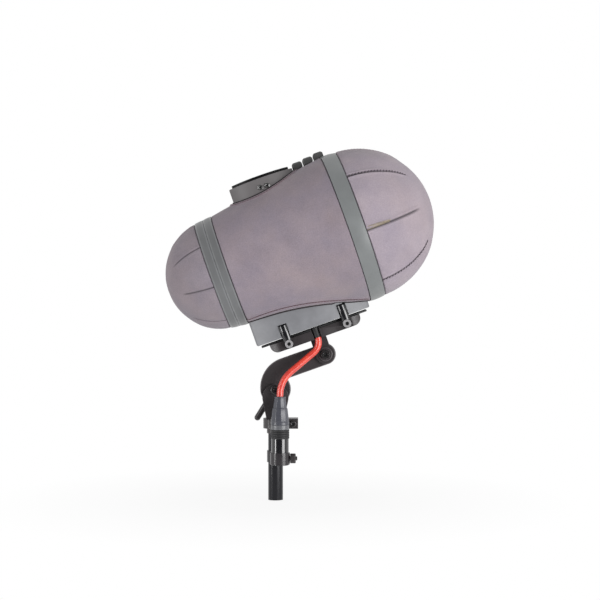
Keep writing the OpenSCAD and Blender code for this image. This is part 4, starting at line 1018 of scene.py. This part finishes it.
def makeBoot():
    bm = bmesh.new()
    spinLine(bm, [(r, 0, z) for r, z in boot["profile"]], (0, 0, 1), boot["turns"], gap=weld["turned"])
    half = math.pi / boot["flats"]
    for v in bm.verts:
        fadeIn = ease((v.co.z - boot["flatsFrom"]) / boot["fadeIn"])
        window = fadeIn * ease((boot["flatsTo"] - v.co.z) / boot["fadeOut"])
        if math.hypot(v.co.x, v.co.y) < boot["bore"] or window == 0:
            continue
        way = (math.atan2(v.co.y, v.co.x) + half * boot["twist"]) % (2 * half) - half
        k = 1 + window * (math.cos(half) / math.cos(way) - 1)
        v.co.x, v.co.y = v.co.x * k, v.co.y * k
    addTurned("xlr_boot", bm, (plug["x"], plug["y"], 0), boot["sharp"])


def makeSleeve():
    bottom, top, crest = sleeve["bottom"], sleeve["top"], sleeve["crest"]
    pitch = (top - bottom) / sleeve["ridges"]
    profile = [(sleeve["bore"], bottom), (sleeve["root"], bottom)]
    for i in range(sleeve["ridges"]):
        z = bottom + i * pitch
        profile += [(crest + out, z + a) for out, a in sleeve["rise"]]
        profile += [(crest + out, z + pitch - a) for out, a in sleeve["fall"]]
    profile += [(sleeve["root"], top), (sleeve["bore"], top)]
    bm = bmesh.new()
    spinLine(bm, [(r, 0, z) for r, z in profile], (0, 0, 1), sleeve["turns"], gap=weld["turned"])
    addTurned("xlr_sleeve", bm, (plug["x"], plug["y"], 0), sleeve["sharp"])


def makeThumbscrew():
    r, stem, tip, start = thumb["radius"], thumb["stem"], thumb["tip"], thumb["start"]
    end = start + thumb["len"]
    back, front, floor, top = thumb["backEdge"], thumb["frontEdge"], end - thumb["dish"], end + thumb["boss"]
    profile = [(0.0, tip), (stem, tip), (stem, start), (r - back, start), (r, start + back), (r, end - front),
               (r - front, end), (stem + thumb["dishWide"], end), (stem + thumb["dishFloor"], floor), (stem, floor),
               (stem, top - thumb["bossEdge"]), (stem - thumb["bossEdge"], top), (0.0, top)]
    bm = bmesh.new()
    spinLine(bm, [(x, 0, across) for across, x in profile], (1, 0, 0), thumb["teeth"] * 6, False, weld["turned"])
    for v in bm.verts:
        across = math.hypot(v.co.y, v.co.z)
        if across > r - thumb["skin"]:
            tooth = 0.5 - 0.5 * math.cos(math.atan2(v.co.z, v.co.y) * thumb["teeth"])
            k = (across - thumb["tooth"] * tooth) / across
            v.co.y, v.co.z = v.co.y * k, v.co.z * k
    addTurned("clip_thumbscrew", bm, (0, plug["y"], thumb["height"]), thumb["sharp"])


makeBoot()
makeSleeve()
makeThumbscrew()
print("connector done")

# Nodes whose CAD shape is right keep it and take their finish
for name, node in frame["nodes"].items():
    if not node.hide_render:
        node.data.materials.clear()
        node.data.materials.append(finishFor(name))

# Pale floor, white surroundings and soft lamps
studio = {
    "floorRadius": 0.38, "floorDrop": -0.0006, "floorTone": 0.86, "floorGlow": 0.38, "shadowNear": 0.08,
    "shadowFar": 0.30, "shadowless": 0.9, "surround": 0.34, "front": 0.06, "frontFrom": -0.85, "frontTo": 0.1,
    "aim": (0.02, 0, 0.22), "lamps": [
        ("keyLamp", (1.42, -1.34, 0.16), (1.2, 1.2), 37.0), ("stripLamp", (-1.6, -0.9, 0.10), (0.4, 1.4), 20.0),
        ("topLamp", (0.1, 0.3, 1.9), (1.2, 1.2), 2.0),
    ],
}


def raysSeen(tree):  # the rays that show the white surroundings, straight or by reflection
    rays = addNode(tree, "LightPath").outputs
    mirrored = mathOn(tree, "MAXIMUM", rays["Is Glossy Ray"], rays["Is Transmission Ray"])
    return rays["Is Camera Ray"], mirrored


def makeWorld():
    world = bpy.data.worlds.new("surround")
    scene.world = world
    world.use_nodes = True
    tree = world.node_tree
    direct, mirrored = raysSeen(tree)
    way = addNode(tree, "TexCoord").outputs["Generated"]
    depth = addNode(tree, "SeparateXYZ", {"Vector": way}).outputs["Y"]
    room = spreadOn(tree, depth, studio["front"], 1.0, studio["frontFrom"], studio["frontTo"])
    seen = mathOn(tree, "MAXIMUM", direct, mathOn(tree, "MULTIPLY", mirrored, room))
    back = tree.nodes["Background"]
    back.inputs["Color"].default_value = (1, 1, 1, 1)
    plain = mathOn(tree, "MULTIPLY", mathOn(tree, "SUBTRACT", 1.0, mathOn(tree, "MAXIMUM", direct, mirrored)),
                   studio["surround"])
    tree.links.new(mathOn(tree, "ADD", seen, plain), back.inputs["Strength"])


def makeFloor():
    bm = bmesh.new()
    bmesh.ops.create_circle(bm, cap_ends=True, segments=96, radius=studio["floorRadius"])
    bmesh.ops.translate(bm, verts=bm.verts, vec=(0, 0, studio["floorDrop"]))
    finish, tree, shader = newFinish("paleFloor", 0.8)
    shader.inputs["Base Color"].default_value = (*[studio["floorTone"]] * 3, 1)
    direct, mirrored = raysSeen(tree)
    place = objectSpots(tree)
    away = addNode(tree, "VectorMath", {0: place}, operation="LENGTH").outputs["Value"]
    far = spreadOn(tree, away, studio["shadowless"], 1.0, studio["shadowNear"], studio["shadowFar"])
    share = mathOn(tree, "MULTIPLY", mathOn(tree, "MAXIMUM", direct, mirrored), far)
    share = mathOn(tree, "MAXIMUM", share, studio["floorGlow"])
    glow = addNode(tree, "Emission", {"Color": (1, 1, 1, 1), "Strength": 1.0})
    blend = addNode(tree, "MixShader", {0: share, 1: shader.outputs["BSDF"], 2: glow.outputs["Emission"]})
    tree.links.new(blend.outputs["Shader"], tree.nodes["Material Output"].inputs["Surface"])
    floor = newObject("floor", bm)
    floor.data.materials.append(finish)


def makeLamps():
    for name, place, size, power in studio["lamps"]:
        lamp = bpy.data.lights.new(name, "AREA")
        lamp.shape = "RECTANGLE"
        lamp.size, lamp.size_y = size
        lamp.energy = power
        holder = bpy.data.objects.new(name, lamp)
        holder.location = place
        holder.rotation_euler = (Vector(studio["aim"]) - holder.location).to_track_quat("-Z", "Y").to_euler()
        scene.collection.objects.link(holder)


makeWorld()
makeFloor()
makeLamps()
